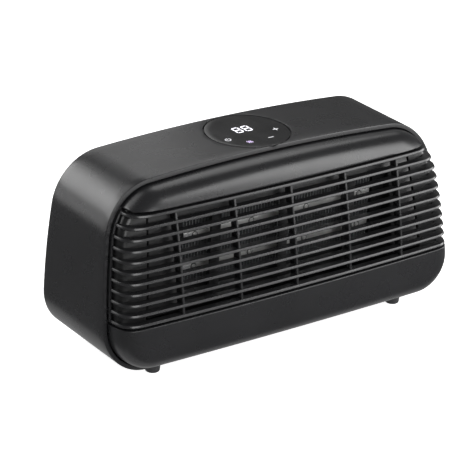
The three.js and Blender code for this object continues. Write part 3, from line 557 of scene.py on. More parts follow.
def winding(name):
    """Enamelled copper wire laid in turns, with painted shade darkening the grooves between the turns."""
    n = Nodes(name)
    wave = n.add("TexWave", {"Scale": 700, "Distortion": 0.4, "Vector": n.position},
                 wave_type="BANDS", bands_direction="X").outputs["Fac"]
    # The dark end of the ramp is painted shade in the grooves between turns.
    tone = n.ramp(wave, 0.1, (0.12, 0.035, 0.012), 0.8, (0.62, 0.24, 0.09))
    return n.finish(Base_Color=tone, Roughness=0.34, Metallic=0.9, Normal=n.bump(wave, 0.0001))


def lit(name, colour, strength):
    """Printed symbol made to glow: lit from behind on the disc, a painted glow on the switch mark; a little
    uneven, as light through ink is.
    """
    n = Nodes(name)
    tone = n.ramp(n.noise(700, 2), 0.3, shade(colour, 0.8), 0.7, colour)
    return n.finish(Base_Color=tone, Roughness=0.5, Emission_Color=tone, Emission_Strength=strength)


CASE_PLASTIC = moulded("case_plastic", (0.011, 0.011, 0.0119), 0.28)
FRONT_PLASTIC = moulded("front_plastic", (0.011, 0.011, 0.0119), 0.28, grain=0.0004, depth=0.000006)
GRILLE_PLASTIC = moulded("grille_plastic", (0.012, 0.012, 0.0128), 0.28, grain=0.0004, depth=0.000006)
# Half as dark as the case plastic: painted shade for the inner parts seen in the recess behind the grille.
SHADED_INNER_PLASTIC = moulded("inner_plastic_painted_shade", (0.006, 0.006, 0.0063), 0.5, specular=0.22)
# The panel's plastic is darkened the same way: painted shade for the panel and cheeks behind the slats.
SHADED_PANEL_PLASTIC = moulded("panel_plastic_painted_shade", (0.006, 0.006, 0.0063), 0.32, specular=0.42)
WHEEL_PLASTIC = moulded("wheel_plastic", (0.02, 0.02, 0.021), 0.5)
DISC_GLOSS = glossy("touch_gloss", (0.0055, 0.0055, 0.006), 0.2)
SWITCH_GLOSS = glossy("switch_gloss", (0.012, 0.012, 0.0125), 0.25)
RELAY_CASE = glossy("relay_case", (0.015, 0.06, 0.2), 0.3)
FOOT_RUBBER = rubber("foot_rubber", (0.012, 0.012, 0.013))
STEEL = metal("plated_steel", (0.56, 0.56, 0.57), 0.28)
SCREW_STEEL = metal("screw_steel", (0.32, 0.32, 0.33), 0.32, (900, 900, 900))
LAMINATION = metal("lamination_steel", (0.36, 0.36, 0.37), 0.42, (3000, 20, 20))
FIN_METAL = metal("fin_aluminium", (0.4, 0.41, 0.42), 0.55, (40, 400, 2500))
BAR_METAL = metal("bar_aluminium", (0.5, 0.5, 0.49), 0.5, (60, 2500, 2500), 0.00002)
ROTOR_METAL = metal("rotor_cast", (0.5, 0.5, 0.51), 0.45, (700, 700, 700), 0.00004)
COPPER = metal("spring_copper", (0.72, 0.36, 0.2), 0.3)
BRONZE = metal("sintered_bronze", (0.55, 0.36, 0.17), 0.45, (1500, 1500, 1500), 0.00005)
COIL = winding("coil_winding")
BOARD = circuit_board("circuit_board")
ACETAL = moulded("white_acetal", (0.55, 0.55, 0.53), 0.35)
WHITE_INK = lit("lit_white", (0.93, 0.92, 1.0), 1.0)
GREY_INK = lit("lit_grey", (0.75, 0.75, 0.78), 0.55)
VIOLET_INK = lit("lit_violet", (0.74, 0.62, 0.88), 0.8)
# Printed switch mark given a faint painted glow, though nothing lights it.
GLOWING_MARK_INK = lit("switch_mark_painted_glow", (0.7, 0.7, 0.7), 0.05)


# --- case ---
def follow_crown(radius, angle, height):
    """A point about the disc's axis, with its height measured from the crowned top."""
    x = DISC_CENTRE.x + radius * cos(angle)
    return x, DISC_CENTRE.y + radius * sin(angle), crown_z(x) + height


def lip_corners(start, end):
    """(inset, distance from the cut edge) round the rounded edge of the sleeve."""
    return [(CASE.lip_round * (1 - cos(radians(a))), CASE.lip_round * (1 - sin(radians(a))))
            for a in spread(start, end, 4)]


def case_section():
    """Closed section of the sleeve's wall as (inset, y) corners, from the back round the lip."""
    def shifted(edge_y, shift):
        return lambda z: edge_y(z) + shift

    section = [(0.0, lambda z, t=t: (back_y(z) - CASE.lip_round) * (1 - t) + (rim_y(z) + CASE.lip_round) * t)
               for t in spread(0, 1, 10)]
    section += [(inset, shifted(rim_y, reach)) for inset, reach in lip_corners(0, 90)]
    chamfer, behind = CASE.chamfer, CASE.lip_depth
    section += [(CASE.lip - chamfer, rim_y), (CASE.lip, shifted(rim_y, chamfer)),
                (CASE.lip, shifted(rim_y, behind)), (CASE.wall, shifted(rim_y, behind + 2 * chamfer)),
                (CASE.wall, shifted(back_y, -chamfer)), (CASE.wall - chamfer, back_y)]
    return section + [(inset, shifted(back_y, -reach)) for inset, reach in lip_corners(90, 0)[:-1]]


def build_case():
    sleeve = Shape()
    sleeve.loft([[(x, y(z), z) for x, z in outline(inset)] for inset, y in case_section()], looped=True)
    case = mesh_object("case_sleeve", sleeve)
    cutter = Shape()
    hole = DISC_RADIUS + DISC.gap
    over = 1 * MM
    cutter.turn(follow_crown, [(0, -POCKET.depth), (hole, -POCKET.depth),
                               *fillet((hole + POCKET.edge, -POCKET.edge), POCKET.edge, 180, 90),
                               (hole + 3 * POCKET.edge, over), (0, over)], 128)
    below = hole - POCKET.seat
    cutter.turn(follow_crown, [(0, -9 * MM), (below, -9 * MM), (below, -over), (0, -over)], 64)
    plunger = centre_of("tip_switch_plunger")
    cutter.turn(about("z", plunger.x, plunger.y), in_mm(PLUNGER_HOLE, CASE_LOW.z), 32)
    carve(case, cutter)
    place(case, CASE_PLASTIC, "case", "case_shell")


build_case()


# --- front cover: visor above the grille, chin below it, and the strips between ---
def close_wall(shape, outer, inner, direction):
    """Joins an outer and an inner skin. Each is (flange row, chain along the cut edge); the outer cut
    edge is rounded towards direction, -1 down or 1 up, before it meets the inner one."""
    flange, chain = outer
    ends = [[chain[0]], [chain[-1]]]
    last = chain
    for angle in (30, 60, 90):
        turn = radians(angle)
        shift = (0, COVER.edge * (1 - cos(turn)), direction * COVER.edge * sin(turn))
        row = shape.row([tuple(a + b for a, b in zip(shape.points[i], shift)) for i in chain])
        shape.sheet([last, row])
        for end, corner in zip(ends, (row[0], row[-1])):
            end.append(corner)
        last = row
    shape.sheet([last, inner[1]])
    shape.sheet([flange, inner[0]])
    for end, corner in zip(ends, (inner[1][0], inner[1][-1])):
        shape.faces.append((*end, corner))


def visor_skin(shape, wall):
    """Outer or inner skin of the visor. Columns run from the outline straight in to the cut edge."""
    cut = WINDOW[1] + (COVER.edge if wall == 0 else 0)
    inset = COVER.inset + wall
    crown, shoulder = ARCS[0], ARCS[1]
    tip = acos((cut - shoulder[1]) / (shoulder[2] - inset))
    half = []
    for arc, end, steps in ((crown, crown[4], 18), (shoulder, tip, 30)):
        for angle in spread(arc[3], end, steps)[0 if arc is crown else 1:]:
            start = on_arc(arc, angle, inset)
            half.append((start, (arc[0] + (cut - arc[1]) * tan(angle), cut)))
    columns = [[(-x, z) for x, z in pair] for pair in reversed(half[1:])] + half
    rows = []
    for share in (t ** VISOR_CROWD for t in spread(0, 1, VISOR_ROWS)):
        points = [(a[0] + (b[0] - a[0]) * share, a[1] + (b[1] - a[1]) * share) for a, b in columns]
        rows.append(shape.row([(x, front_y(x, z, wall), z) for x, z in points]))
    flange = shape.row([(x, rim_y(z) + COVER.flange, z) for x, z in (a for a, b in columns)])
    shape.sheet([flange] + rows)
    return flange, [flange[0], *rows[-1], flange[-1]]


def chin_skin(shape, wall):
    """Outer or inner skin of the chin: a rounded band along the outline and a field of rungs inside it."""
    cut = WINDOW[0] - (COVER.edge if wall == 0 else 0)
    insets = [COVER.inset + wall + inset for inset in round_insets(FRONT_ROUND)]
    corner = ARCS[3]
    low = on_arc(corner, corner[3], 0)[1]
    columns = [[(-half_width_at(z, inset), z) for inset in insets] for z in spread(cut, low, 5)[:-1]]
    for angle in spread(corner[3], corner[4], 26):
        columns.append([(-x, z) for x, z in (on_arc(corner, angle, inset) for inset in insets)])
    turn = len(columns)
    columns += [[(x, CASE_LOW.z + inset) for inset in insets] for x in spread(-CORNER_X, 0, 18)[1:]]
    columns += [[(-x, z) for x, z in column] for column in reversed(columns[:-1])]

    def put(points):
        return shape.row([(x, front_y(x, z, wall), z) for x, z in points])

    rows = [put(points) for points in zip(*columns)]
    flange = shape.row([(x, rim_y(z) + COVER.flange, z) for x, z in (column[0] for column in columns)])
    shape.sheet([flange] + rows)
    inner = rows[-1]
    width = len(inner) - 2 * turn + 2
    rungs = []
    for i in range(turn - 1):
        left, z = columns[i][-1]
        middle = put([(x, z) for x in spread(left, -left, width - 1)[1:-1]])
        rungs.append([inner[i], *middle, inner[-1 - i]])
    rungs.append(inner[turn - 1:len(inner) - turn + 1])
    shape.sheet(rungs)
    down, up = [row[0] for row in rows], [row[-1] for row in reversed(rows)]
    return flange, [flange[0], *down, *rungs[0][1:-1], *up, flange[-1]]


def build_front_cover():
    cover = Shape()
    close_wall(cover, visor_skin(cover, 0.0), visor_skin(cover, COVER.wall), -1)
    close_wall(cover, chin_skin(cover, 0.0), chin_skin(cover, COVER.wall), 1)
    for side in (-1, 1):
        rings = []
        for z in spread(WINDOW[0], WINDOW[1], 24):
            wide, narrow = (side * half_width_at(z, COVER.inset + wall) for wall in (0.0, COVER.wall))
            front, back = rim_y(z) + COVER.strip_front, rim_y(z) + COVER.flange
            rings.append([(wide, front, z), (wide, back, z), (narrow, back, z), (narrow, front, z)])
        cover.loft(rings)
    piece("front_cover_shell", cover, FRONT_PLASTIC, "front", "front_cover", sharp=40)


build_front_cover()


# --- grille ---
def slat_section():
    """Section of a slat as (inwards, up): leaning front with round edges, and a tapered body."""
    half, tail = SLAT.thick / 2, SLAT.thick / 2 - SLAT.taper
    rise = half - SLAT.edge
    run = 2 * rise * tan(radians(180 - SLAT_LEAN))
    low_edge = fillet((SLAT.edge, -rise), SLAT.edge, 270, SLAT_LEAN)
    high_edge = fillet((SLAT.edge + run, rise), SLAT.edge, SLAT_LEAN, 90)
    inside, deep = SLAT.depth - SLAT.ease, SLAT.depth
    return low_edge + high_edge + [(inside, tail), (deep, tail - SLAT.ease), (deep, SLAT.ease - tail),
                                   (inside, -tail)]


def slat_path(z):
    """Points along a slat's front from end to end, close together where its ends curve backwards."""
    shoulder = ARCS[1]
    reach = shoulder[2] - (z - shoulder[1]) / cos(shoulder[3]) - COVER.inset - 1e-5
    half = [half_width_at(z, COVER.inset + min(inset, reach)) for inset in round_insets(FRONT_ROUND, 20)]
    half[0] = half_width_at(z, COVER.inset + 0.02 * MM)
    half = sorted(set(half), reverse=True)
    half += spread(half[-1], 0.0, 16)[1:]
    xs = [-x for x in half] + half[-2::-1]
    return [Vector((x, front_y(x, z))) for x in xs]


def build_grille():
    grille = Shape()
    section = slat_section()
    for k in range(SLAT_COUNT):
        z = SLAT.top - k * SLAT.pitch
        path = slat_path(z)
        rings = []
        for i, point in enumerate(path):
            ahead = (path[min(i + 1, len(path) - 1)] - path[max(i - 1, 0)]).normalized()
            rings.append([(point.x - ahead.y * inwards, point.y + ahead.x * inwards, z + up)
                          for inwards, up in section])
        grille.loft(rings)
    for k in range(RIB_COUNT):
        x = (k - (RIB_COUNT - 1) / 2) * RIB.pitch
        profile = round_box(RIB.thick, RIB.depth - RIB.setback, RIB.edge)
        middle = (RIB.depth + RIB.setback) / 2
        grille.loft([flat(profile, z, x, face_y(x, z) + middle) for z in spread(SLAT_BOTTOM, SLAT.top, 16)])
    for side in (-1, 1):
        rings = []
        profile = round_box(BORDER.width, BORDER.depth, BORDER.edge)
        for z in spread(SLAT_BOTTOM - SLAT.thick / 2, SLAT.top + SLAT.thick / 2, 30):
            x = half_width_at(z, COVER.inset + BORDER.width / 2)
            y = rim_y(z) - BORDER.proud
            rings.append([(side * (x + across), y + along, z) for across, along in profile])
        grille.loft(rings)
    piece("grille_slats", grille, GRILLE_PLASTIC, "grille", "front_grille", sharp=40)


build_grille()


# --- outlet panel ---
def panel_y(z):
    return face_y(0, z) + PANEL.setback


def panel_half(z):
    """Where the flat panel ends and the slit begins, further out towards the bottom."""
    return PANEL.reach - PANEL_TAPER * z


def add_slab(shape, levels, span):
    """Sheet between two edges that may follow z, with its front corners eased."""
    ease = 0.35 * PANEL.bend
    rings = []
    for z in levels:
        left, right = span(z)
        y = panel_y(z)
        section = [(left, y + PANEL.bend), (left + ease, y + ease), (left + PANEL.bend, y),
                   (right - PANEL.bend, y), (right - ease, y + ease), (right, y + PANEL.bend),
                   (right, y + PANEL.thick), (left, y + PANEL.thick)]
        rings.append(flat(section, z))
    shape.loft(rings)


def cheek_section(z):
    """Section of a cheek: flat beside the slit, then rounding backwards into the cover."""
    outer = half_width_at(z, COVER.inset + COVER.wall + CHEEK.gap)
    start, y = panel_half(z) + CHEEK.slit, panel_y(z)
    heart = (outer - CHEEK.round, y + CHEEK.round)
    front = fillet(heart, CHEEK.round, -90, 0, 6)
    back = fillet(heart, CHEEK.round - CHEEK.sheet, 0, -90, 6)
    rear = heart[1] + CHEEK.reach
    return [(start, y), *front, (outer, rear), (outer - CHEEK.sheet, rear), *back, (start, y + CHEEK.sheet)]


def add_tube(shape):
    """Tube round the heating block, from the panel back to the fan housing."""
    low, high = DUCT_LEVELS
    tube_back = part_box("outlet_duct")[1].y
    rings = []
    for grow, at_back in ((0.0, False), (DUCT.wall, False), (DUCT.wall, True), (0.0, True)):
        section = round_box(2 * (DUCT_HALF + grow), high - low + 2 * grow, DUCT.corner + grow)
        points = [(x, (low + high) / 2 + up) for x, up in section]
        rings.append([(x, tube_back if at_back else panel_y(z) + PANEL.thick / 2, z) for x, z in points])
    shape.loft(rings, looped=True)


def build_outlet():
    outlet = Shape()
    low, high = DUCT_LEVELS
    for levels in (spread(PANEL.bottom, low, 4), spread(high, PANEL.top, 4)):
        add_slab(outlet, levels, lambda z: (-panel_half(z), panel_half(z)))
    beside = spread(low, high, 12)
    add_slab(outlet, beside, lambda z: (-panel_half(z), -DUCT_HALF))
    add_slab(outlet, beside, lambda z: (DUCT_HALF, panel_half(z)))
    for side in (-1, 1):
        outlet.loft([[(side * x, y, z) for x, y in cheek_section(z)]
                     for z in spread(WINDOW[0] + 1 * MM, WINDOW[1] - 1 * MM, 30)])
    profile = round_box(POST.width, POST.depth, POST.edge)
    for x in (-POST.pitch, 0.0, POST.pitch):
        outlet.loft([flat(profile, z, x, POST.y) for z in DUCT_LEVELS])
    half, front = panel_half(LEDGE.level), panel_y(LEDGE.level)
    outlet.box((-half, front, LEDGE.level - LEDGE.thick / 2),
               (half, front + LEDGE.depth, LEDGE.level + LEDGE.thick / 2))
    add_tube(outlet)
    # The panel's darkened plastic is painted shade for the recess behind the grille.
    piece("outlet_panel", outlet, SHADED_PANEL_PLASTIC, "inner", "outlet_duct", sharp=40)


build_outlet()


# --- heating block ---
def build_fins(number):
    """Folded strip of sheet: upright fins joined by turns at the top and the bottom in turn."""
    low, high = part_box(f"fin_row_{number}")
    folds = round(2 * high.x / FIN.pitch)
    step = (2 * high.x - FIN.sheet) / folds
    front = low.y + FIN.setback
    fins = Shape()
    for k in range(folds + 1):
        x = k * step - high.x
        fins.box((x, front, low.z), (x + FIN.sheet, high.y, high.z))
        if k < folds:
            level = low.z if k % 2 else high.z - FIN.sheet
            fins.box((x + FIN.sheet, front, level), (x + step, high.y, level + FIN.sheet))
    piece(f"fin_strip_{number}", fins, FIN_METAL, "fins", f"fin_row_{number}")


def build_bar(number):
    """Electrode bar: rolled aluminium over the stones, with studs, their washers and an end clip."""
    low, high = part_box(f"electrode_bar_{number}")
    z = (low.z + high.z) / 2
    front = low.y + BAR.setback
    middle = (front + high.y) / 2
    bar, washers, end = Shape(), Shape(), Shape()
    profile = round_box(high.y - front, high.z - low.z, BAR.edge)
    bar.loft([[(x, middle + y, z + up) for y, up in profile] for x in spread(low.x, high.x, 24)])
    for k in range(STUD_COUNT):
        x = (k - (STUD_COUNT - 1) / 2) * RIB.pitch
        bar.turn(about("y", x, z), in_mm(STUD, front), 24)
        washers.turn(about("y", x, z), in_mm(WASHER, front), 24, looped=True)
    piece(f"bar_{number}", bar, BAR_METAL, "ceramic", f"electrode_bar_{number}", sharp=40)
    piece(f"bar_washers_{number}", washers, FOOT_RUBBER, "rubber", sharp=40)
    end.box((low.x - CLIP.sunk, front - CLIP.proud, z - CLIP.half),
            (low.x + CLIP.length, front + CLIP.sunk, z + CLIP.half))
    soften(piece(f"bar_end_{number}", end, STEEL, "steel"), CLIP.edge)


for row_number in range(1, FIN_ROWS + 1):
    build_fins(row_number)
for bar_number in range(1, BAR_COUNT + 1):
    build_bar(bar_number)


# --- touch disc and its symbols ---
def build_disc():
    disc = Shape()
    depth = DISC_HIGH.z - DISC_LOW.z
    edge = fillet((DISC_RADIUS - DISC.edge, -DISC.sink - DISC.edge), DISC.edge, 0, 75, 3)
    shares = (1 - DISC.edge / DISC_RADIUS, 0.85, 0.6, 0.35, 0.15, 0)
    face = [(share * DISC_RADIUS, -DISC.sink) for share in shares]
    disc.turn(follow_crown, [(0, -depth), (DISC_RADIUS, -depth), *edge, *face], 128)
    piece("touch_disc", disc, DISC_GLOSS, "disc", "control_disc")


def ink(shape, corners):
    """Thin flat symbol on the disc from its (x, y) corners."""
    shape.loft([[(x, y, crown_z(x) - DISC.sink + level) for x, y in corners] for level in INK_LEVELS])


def stroke(shape, points, width):
    """Line of even width through points, as short plates that overlap at the bends."""
    for start, end in zip(points, points[1:]):
        start, end = Vector(start), Vector(end)
        along = (end - start).normalized() * width
        side = Vector((-along.y, along.x)) / 2
        start, end = start - along / 4, end + along / 4
        ink(shape, [start + side, end + side, end - side, start - side])


def digit(shape, left):
    """All seven segments of one display digit."""
    bottom, width, height = DISPLAY.bottom, DISPLAY.width, DISPLAY.height
    half, gap = DISPLAY.thick / 2, DISPLAY.gap
    middle = bottom + height / 2
    for level in (bottom + half, middle, bottom + height - half):
        x0, x1 = left + half + gap, left + width - half - gap
        ink(shape, [(x0, level), (x0 + half, level + half), (x1 - half, level + half), (x1, level),
                    (x1 - half, level - half), (x0 + half, level - half)])
    for x in (left + half, left + width - half):
        for low, high in ((bottom + half, middle), (middle, bottom + height - half)):
            y0, y1 = low + gap, high - gap
            ink(shape, [(x, y0), (x - half, y0 + half), (x - half, y1 - half), (x, y1),
                        (x + half, y1 - half), (x + half, y0 + half)])


def build_symbols():
    digits, keys, mode = Shape(), Shape(), Shape()
    for k in range(2):
        digit(digits, DISPLAY.left + k * DISPLAY.pitch)
    spots = {key: (x * MM, y * MM) for key, (x, y) in KEYS.items()}
    x, y = spots["power"]
    stroke(keys, [(x + KEY.ring * sin(radians(a)), y + KEY.ring * cos(radians(a)))
                  for a in range(40, 321, 20)], KEY.line)
    stroke(keys, [(x, y + KEY.stem_low), (x, y + KEY.stem_high)], KEY.line)
    for x, y in (spots["minus"], spots["plus"]):
        stroke(keys, [(x - KEY.arm, y), (x + KEY.arm, y)], KEY.line * 1.2)
    stroke(keys, [(x, y - KEY.arm), (x, y + KEY.arm)], KEY.line * 1.2)
    x, y = spots["mode"]
    for k in (-1, 0, 1):
        stroke(mode, [(x + k * WAVE.pitch + WAVE.swing * sin(2 * pi * t), y + (t - 0.5) * WAVE.height)
                      for t in spread(0, 1, 8)], KEY.line * 0.9)
    piece("display_digits", digits, WHITE_INK, "disc")
    piece("key_symbols", keys, GREY_INK, "disc")
    piece("mode_symbol", mode, VIOLET_INK, "disc")


build_disc()
build_symbols()


# --- feet and screws ---
def build_foot(node):
    """Ring-soled foot with a rounded tip, a slight taper and a seat for its screw."""
    low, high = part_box(node)
    centre = (low + high) / 2
    radius, height = (high.x - low.x) / 2, high.z - low.z
    tip, edge, bore, taper = radius - FOOT.taper, FOOT.edge, FOOT.bore, FOOT.taper
    profile = [(bore, FOOT.ease), (bore + FOOT.ease, 0), (tip - edge, 0)]
    profile += fillet((tip - edge, edge), edge, -75, 0, 5)
    profile += [(tip + taper * t, edge + (height - edge - taper) * t) for t in (0.33, 0.66, 1)]
    profile += [(tip, height), (FOOT.screw, height), (FOOT.screw, FOOT.seat), (bore, FOOT.seat)]
    foot = Shape()
    foot.turn(about("z", centre.x, centre.y), profile, 48, looped=True)
    piece(node + "_pad", foot, FOOT_RUBBER, "rubber", node)


def build_screw(node, axis, toward):
    """Pan-head screw with a cross recess. toward is +1 or -1, the way its shank points along the axis."""
    low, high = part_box(node)
    centre = (low + high) / 2
    along = "xyz".index(axis)
    across = [centre[i] for i in range(3) if i != along]
    head = low[along] if toward > 0 else high[along]
    length = high[along] - low[along]
    profile = in_mm(HEAD)
    level, last = THREAD.start, length - profile[-1][1]
    while level < last:
        profile += [(THREAD.core, level), (THREAD.crest, level + THREAD.pitch / 2)]
        level += THREAD.pitch
    profile += [(THREAD.root, level), (THREAD.tip, length), (0, length)]
    screw = Shape()
    put = about(axis, *across)
    screw.turn(put, [(radius, head + toward * depth) for radius, depth in profile], 32)
    obj = mesh_object(node + "_cross", screw)
    notch, far, near = atan2(CROSS.half, CROSS.arm), hypot(CROSS.half, CROSS.arm), CROSS.half * sqrt(2)
    corners = [(radius, angle + turn * pi / 2) for turn in range(4)
               for radius, angle in ((far, -notch), (far, notch), (near, pi / 4))]
    cross = Shape()
    cross.loft([[put(radius, angle, level) for radius, angle in corners]
                for level in (head - toward * MM, head + toward * CROSS.deep)])
    carve(obj, cross)
    place(obj, SCREW_STEEL, "steel", node)


for side in ("front_left", "front_right", "rear_left", "rear_right"):
    build_foot(f"foot_{side}")
    build_screw(f"foot_screw_{side}", "z", 1)
REAR_SCREWS = [f"rear_screw_{level}_{side}" for level in ("low", "high") for side in ("left", "right")]
for name in REAR_SCREWS:
    build_screw(name, "y", -1)


# --- rear cover ---
def rear_skin(shape, wall):
    """Outer or inner skin of the rear cover. Returns its flange row."""
    rows = []
    for inset in round_insets(REAR_ROUND, 12):
        rise = rounded_rise(inset, REAR_ROUND)
        rows.append(shape.row([(x, (back_y(z) - wall) * (1 - rise) + (REAR_FACE - wall) * rise, z)
                               for x, z in outline(COVER.inset + wall + inset)]))
    flange = shape.row([(x, back_y(z) - COVER.flange, z) for x, z in outline(COVER.inset + wall)])
    shape.sheet([flange] + rows, closed=True)
    shape.faces.append(tuple(rows[-1]))
    return flange


def add_opening(shape, centre, size, corner, rear, steps=3):
    """Round-cornered opening through the rear cover with a small chamfer at its outer face."""
    rings = []
    flare = REAR_CUT.flare
    for y, grow in ((REAR_FACE - REAR_CUT.through, 0), (rear - flare, 0), (rear + MM, flare + MM)):
        section = round_box(size[0] + 2 * grow, size[1] + 2 * grow, corner + grow, steps)
        rings.append([(centre[0] + x, y, centre[1] + z) for x, z in section])
    shape.loft(rings)


def build_rear_cover():
    cover = Shape()
    cover.sheet([rear_skin(cover, 0.0), rear_skin(cover, COVER.wall)], closed=True)
    obj = mesh_object("rear_cover_shell", cover)
    cuts = Shape()
    for column in range(INTAKE_COLUMNS):
        x = (column - (INTAKE_COLUMNS - 1) / 2) * INTAKE.pitch_x
        for row in range(INTAKE_ROWS):
            z = INTAKE.low + row * INTAKE.pitch_z + INTAKE.height / 2
            add_opening(cuts, (x, z), (INTAKE.slot, INTAKE.height), INTAKE.corner, REAR_FACE, 5)
    switch = centre_of("power_switch_bezel")
    add_opening(cuts, (switch.x, switch.z), SWITCH_HOLE, 1 * MM, REAR_FACE + MM)
    gland, radius = centre_of("cord_gland"), REAR_CUT.gland
    deep, out = REAR_FACE - REAR_CUT.through, REAR_FACE + 9 * MM
    cuts.turn(about("y", gland.x, gland.z), [(0, deep), (radius, deep), (radius, out), (0, out)], 40)
    for name in REAR_SCREWS:
        screw = centre_of(name)
        cuts.turn(about("y", screw.x, screw.z), in_mm(SCREW_POCKET, REAR_FACE), 40)
    carve(obj, cuts)
    place(obj, CASE_PLASTIC, "case", "rear_cover")


build_rear_cover()


# --- rear switch and gland ---
def build_rocker():
    """Rocker paddle with its marks: dished face, eased ends, tilted to its first position."""
    low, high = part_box("power_switch")
    joint = next(j for j in frame["joints"] if j["child"] == "rocker")
    pivot = Vector(joint["pos_m"])
    turn = Matrix.Rotation(radians(-joint["range_deg"][1] / 2), 3, "X")
    half = (high.x - low.x) / 2

    def put(x, y, z):
        return tuple(pivot + turn @ Vector((x, y, z)))

    def face(z):
        return ROCKER.face + (z / ROCKER.dish) ** 2 * MM

    section = in_mm([(-4, -2.2), (-1.5, -5.0), (1.7, -5.0), (2.2, -4.5)])
    section += [(face(z * MM), z * MM) for z in (-3, -1.5, 0, 1.5, 3)]
    section += in_mm([(2.2, 4.5), (1.7, 5.0), (-1.5, 5.0), (-4, 2.2)])
    paddle, marks = Shape(), Shape()
    ends = ((-half, 0.94), (-half + 0.4 * MM, 1.0), (half - 0.4 * MM, 1.0), (half, 0.94))
    paddle.loft([[put(x, y * scale, z * scale) for y, z in section] for x, scale in ends])
    piece("rocker_paddle", paddle, SWITCH_GLOSS, "switch", "power_switch", body="rocker")

    def mark(corners):
        marks.loft([[put(x, face(z) + lift, z) for x, z in corners] for lift in (-0.3 * MM, 0.06 * MM)])

    left, right = -MARK.x - MARK.line, -MARK.x + MARK.line
    mark([(left, -MARK.half), (right, -MARK.half), (right, MARK.half), (left, MARK.half)])
    for k in range(16):
        a, b = (2 * pi * (k + t) / 16 for t in (0, 1))
        mark([(MARK.x + radius * cos(t), radius * sin(t)) for radius, t in
              ((MARK.outer, a), (MARK.outer, b), (MARK.inner, b), (MARK.inner, a))])
    # The marks carry a faint painted glow.
    piece("rocker_marks", marks, GLOWING_MARK_INK, "switch", body="rocker")


def build_gland():
    """Cord gland: a flanged collar with a stepped outer rim."""
    low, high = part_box("cord_gland")
    centre = (low + high) / 2
    outer, bore, neck = (high.x - low.x) / 2, GLAND.bore, GLAND.neck
    seat, ease, round_top = REAR_FACE + GLAND.seat, GLAND.ease, GLAND.round_top
    profile = [(bore, low.y + ease), (bore + ease, low.y), (neck - ease, low.y), (neck, low.y + ease),
               (neck, seat), (outer - ease, seat), (outer, seat + ease), (outer - 0.1 * MM, seat + 0.9 * MM),
               (outer - 0.7 * MM, seat + 1.4 * MM), (GLAND.top, high.y - round_top), (GLAND.rim, high.y),
               (bore + round_top, high.y), (bore, high.y - round_top)]
    gland = Shape()
    gland.turn(about("y", centre.x, centre.z), profile, 48, looped=True)
    piece("gland_collar", gland, FOOT_RUBBER, "rubber", "cord_gland")


build_rocker()
build_gland()


# --- blower wheel ---
def build_wheel():
    """Crossflow wheel: forward-curved blades between end discs and stiffening rings."""
    low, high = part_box("fan_wheel")
    centre = (low + high) / 2
    radius = (high.z - low.z) / 2
    inner, reach = radius - WHEEL.blade, WHEEL.blade - WHEEL.gap
    wheel = Shape()
    put = about("x", centre.y, centre.z)
    sheet, bore = WHEEL.disc, WHEEL.bore

    def ring(x, inside, outside, length, segments):
        wheel.turn(put, [(inside, x), (outside, x), (outside, x + length), (inside, x + length)],
                   segments, looped=True)

    for x in (low.x, high.x - sheet):
        ring(x, bore, radius, sheet, 72)
    for x in (low.x / 2, -sheet / 2, high.x / 2):
        ring(x, inner, radius, sheet, 72)
    for x in (low.x, high.x - WHEEL.hub_length):
        ring(x, bore, WHEEL.hub, WHEEL.hub_length, 32)
    for k in range(BLADES):
        turn = 2 * pi * k / BLADES
        line = [(inner + reach * t, turn + BLADE_SWEEP * t ** 2) for t in spread(0, 1, 5)]
        corners = line + [(r, angle + BLADE_TURN) for r, angle in reversed(line)]
        wheel.loft([[put(r, angle, x) for r, angle in corners]
                    for x in (low.x + sheet / 2, high.x - sheet / 2)])
    piece("blower_wheel", wheel, WHEEL_PLASTIC, "inner", "fan_wheel", sharp=25, body="blower")


build_wheel()


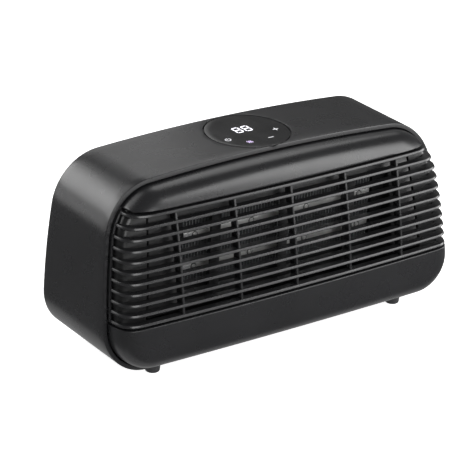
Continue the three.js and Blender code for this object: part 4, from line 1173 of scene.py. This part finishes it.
# --- CAD nodes that stay as they are, with their finish and eased edges ---
# The inner parts get the darkened plastic, painted shade for the recess behind the grille.
FINISHES = {
    "inner": SHADED_INNER_PLASTIC, "board": BOARD, "relay": RELAY_CASE, "plunger": ACETAL, "copper": COPPER,
    "bronze": BRONZE, "fins": FIN_METAL, "steel": STEEL, "rotor": ROTOR_METAL, "rubber": FOOT_RUBBER,
    "switch": SWITCH_GLOSS,
}
SPECIAL = {"motor_coil": COIL, "motor_stack": LAMINATION}
SLOTS = {part["node"]: part["material_slot"] for part in frame["record"]["subparts"]}


def finish_cad_nodes():
    for name, obj in frame["nodes"].items():
        if obj.hide_render:
            continue
        obj.data.materials.clear()
        obj.data.materials.append(SPECIAL.get(name) or FINISHES[SLOTS[name]])
        soften(obj, THIN_EASE.get(name, EASE))


finish_cad_nodes()


# --- stage ---
def build_stage():
    floor = Shape()
    floor.faces.append(tuple(floor.row([(x * FLOOR_HALF, y * FLOOR_HALF, 0)
                                        for x, y in ((-1, -1), (1, -1), (1, 1), (-1, 1))])))
    obj = mesh_object("floor", floor)
    n = Nodes("floor_paper")
    obj.data.materials.append(n.finish(Base_Color=n.ramp(n.noise(30, 3), 0.3, 0.88, 0.7, 0.9),
                                       Roughness=0.9, Emission_Color=(1.0, 1.0, 1.0),
                                       Emission_Strength=0.85))
    obj.visible_glossy = False


def area_light(name, spot, aim, size, radiance):
    """Soft rectangular light of even radiance, whatever its size."""
    data = bpy.data.lights.new(name, "AREA")
    data.shape = "RECTANGLE"
    data.size, data.size_y = size
    data.energy = radiance * pi * size[0] * size[1]
    light = new_object(name, data)
    light.location = spot
    light.rotation_euler = (aim - spot).to_track_quat("-Z", "Y").to_euler()
    light.visible_camera = False


def build_lights():
    world = bpy.data.worlds.new("studio")
    world.use_nodes = True
    background = world.node_tree.nodes["Background"]
    background.inputs["Color"].default_value = (1.0, 1.0, 1.0, 1.0)
    background.inputs["Strength"].default_value = WORLD_STRENGTH
    bpy.context.scene.world = world
    for name, azimuth, elevation, radiance, size in SOFTBOXES:
        spot = LIGHT_CENTRE + direction(azimuth, elevation) * LIGHT_DISTANCE
        area_light(name, spot, LIGHT_CENTRE, size, radiance)
    spot = Vector(BOUNCE_SPOT)
    area_light("bounce", spot, spot + Vector((0, 0, 1)), BOUNCE_SIZE, BOUNCE_RADIANCE)
    bpy.context.scene.view_settings.view_transform = "Standard"


build_stage()
build_lights()
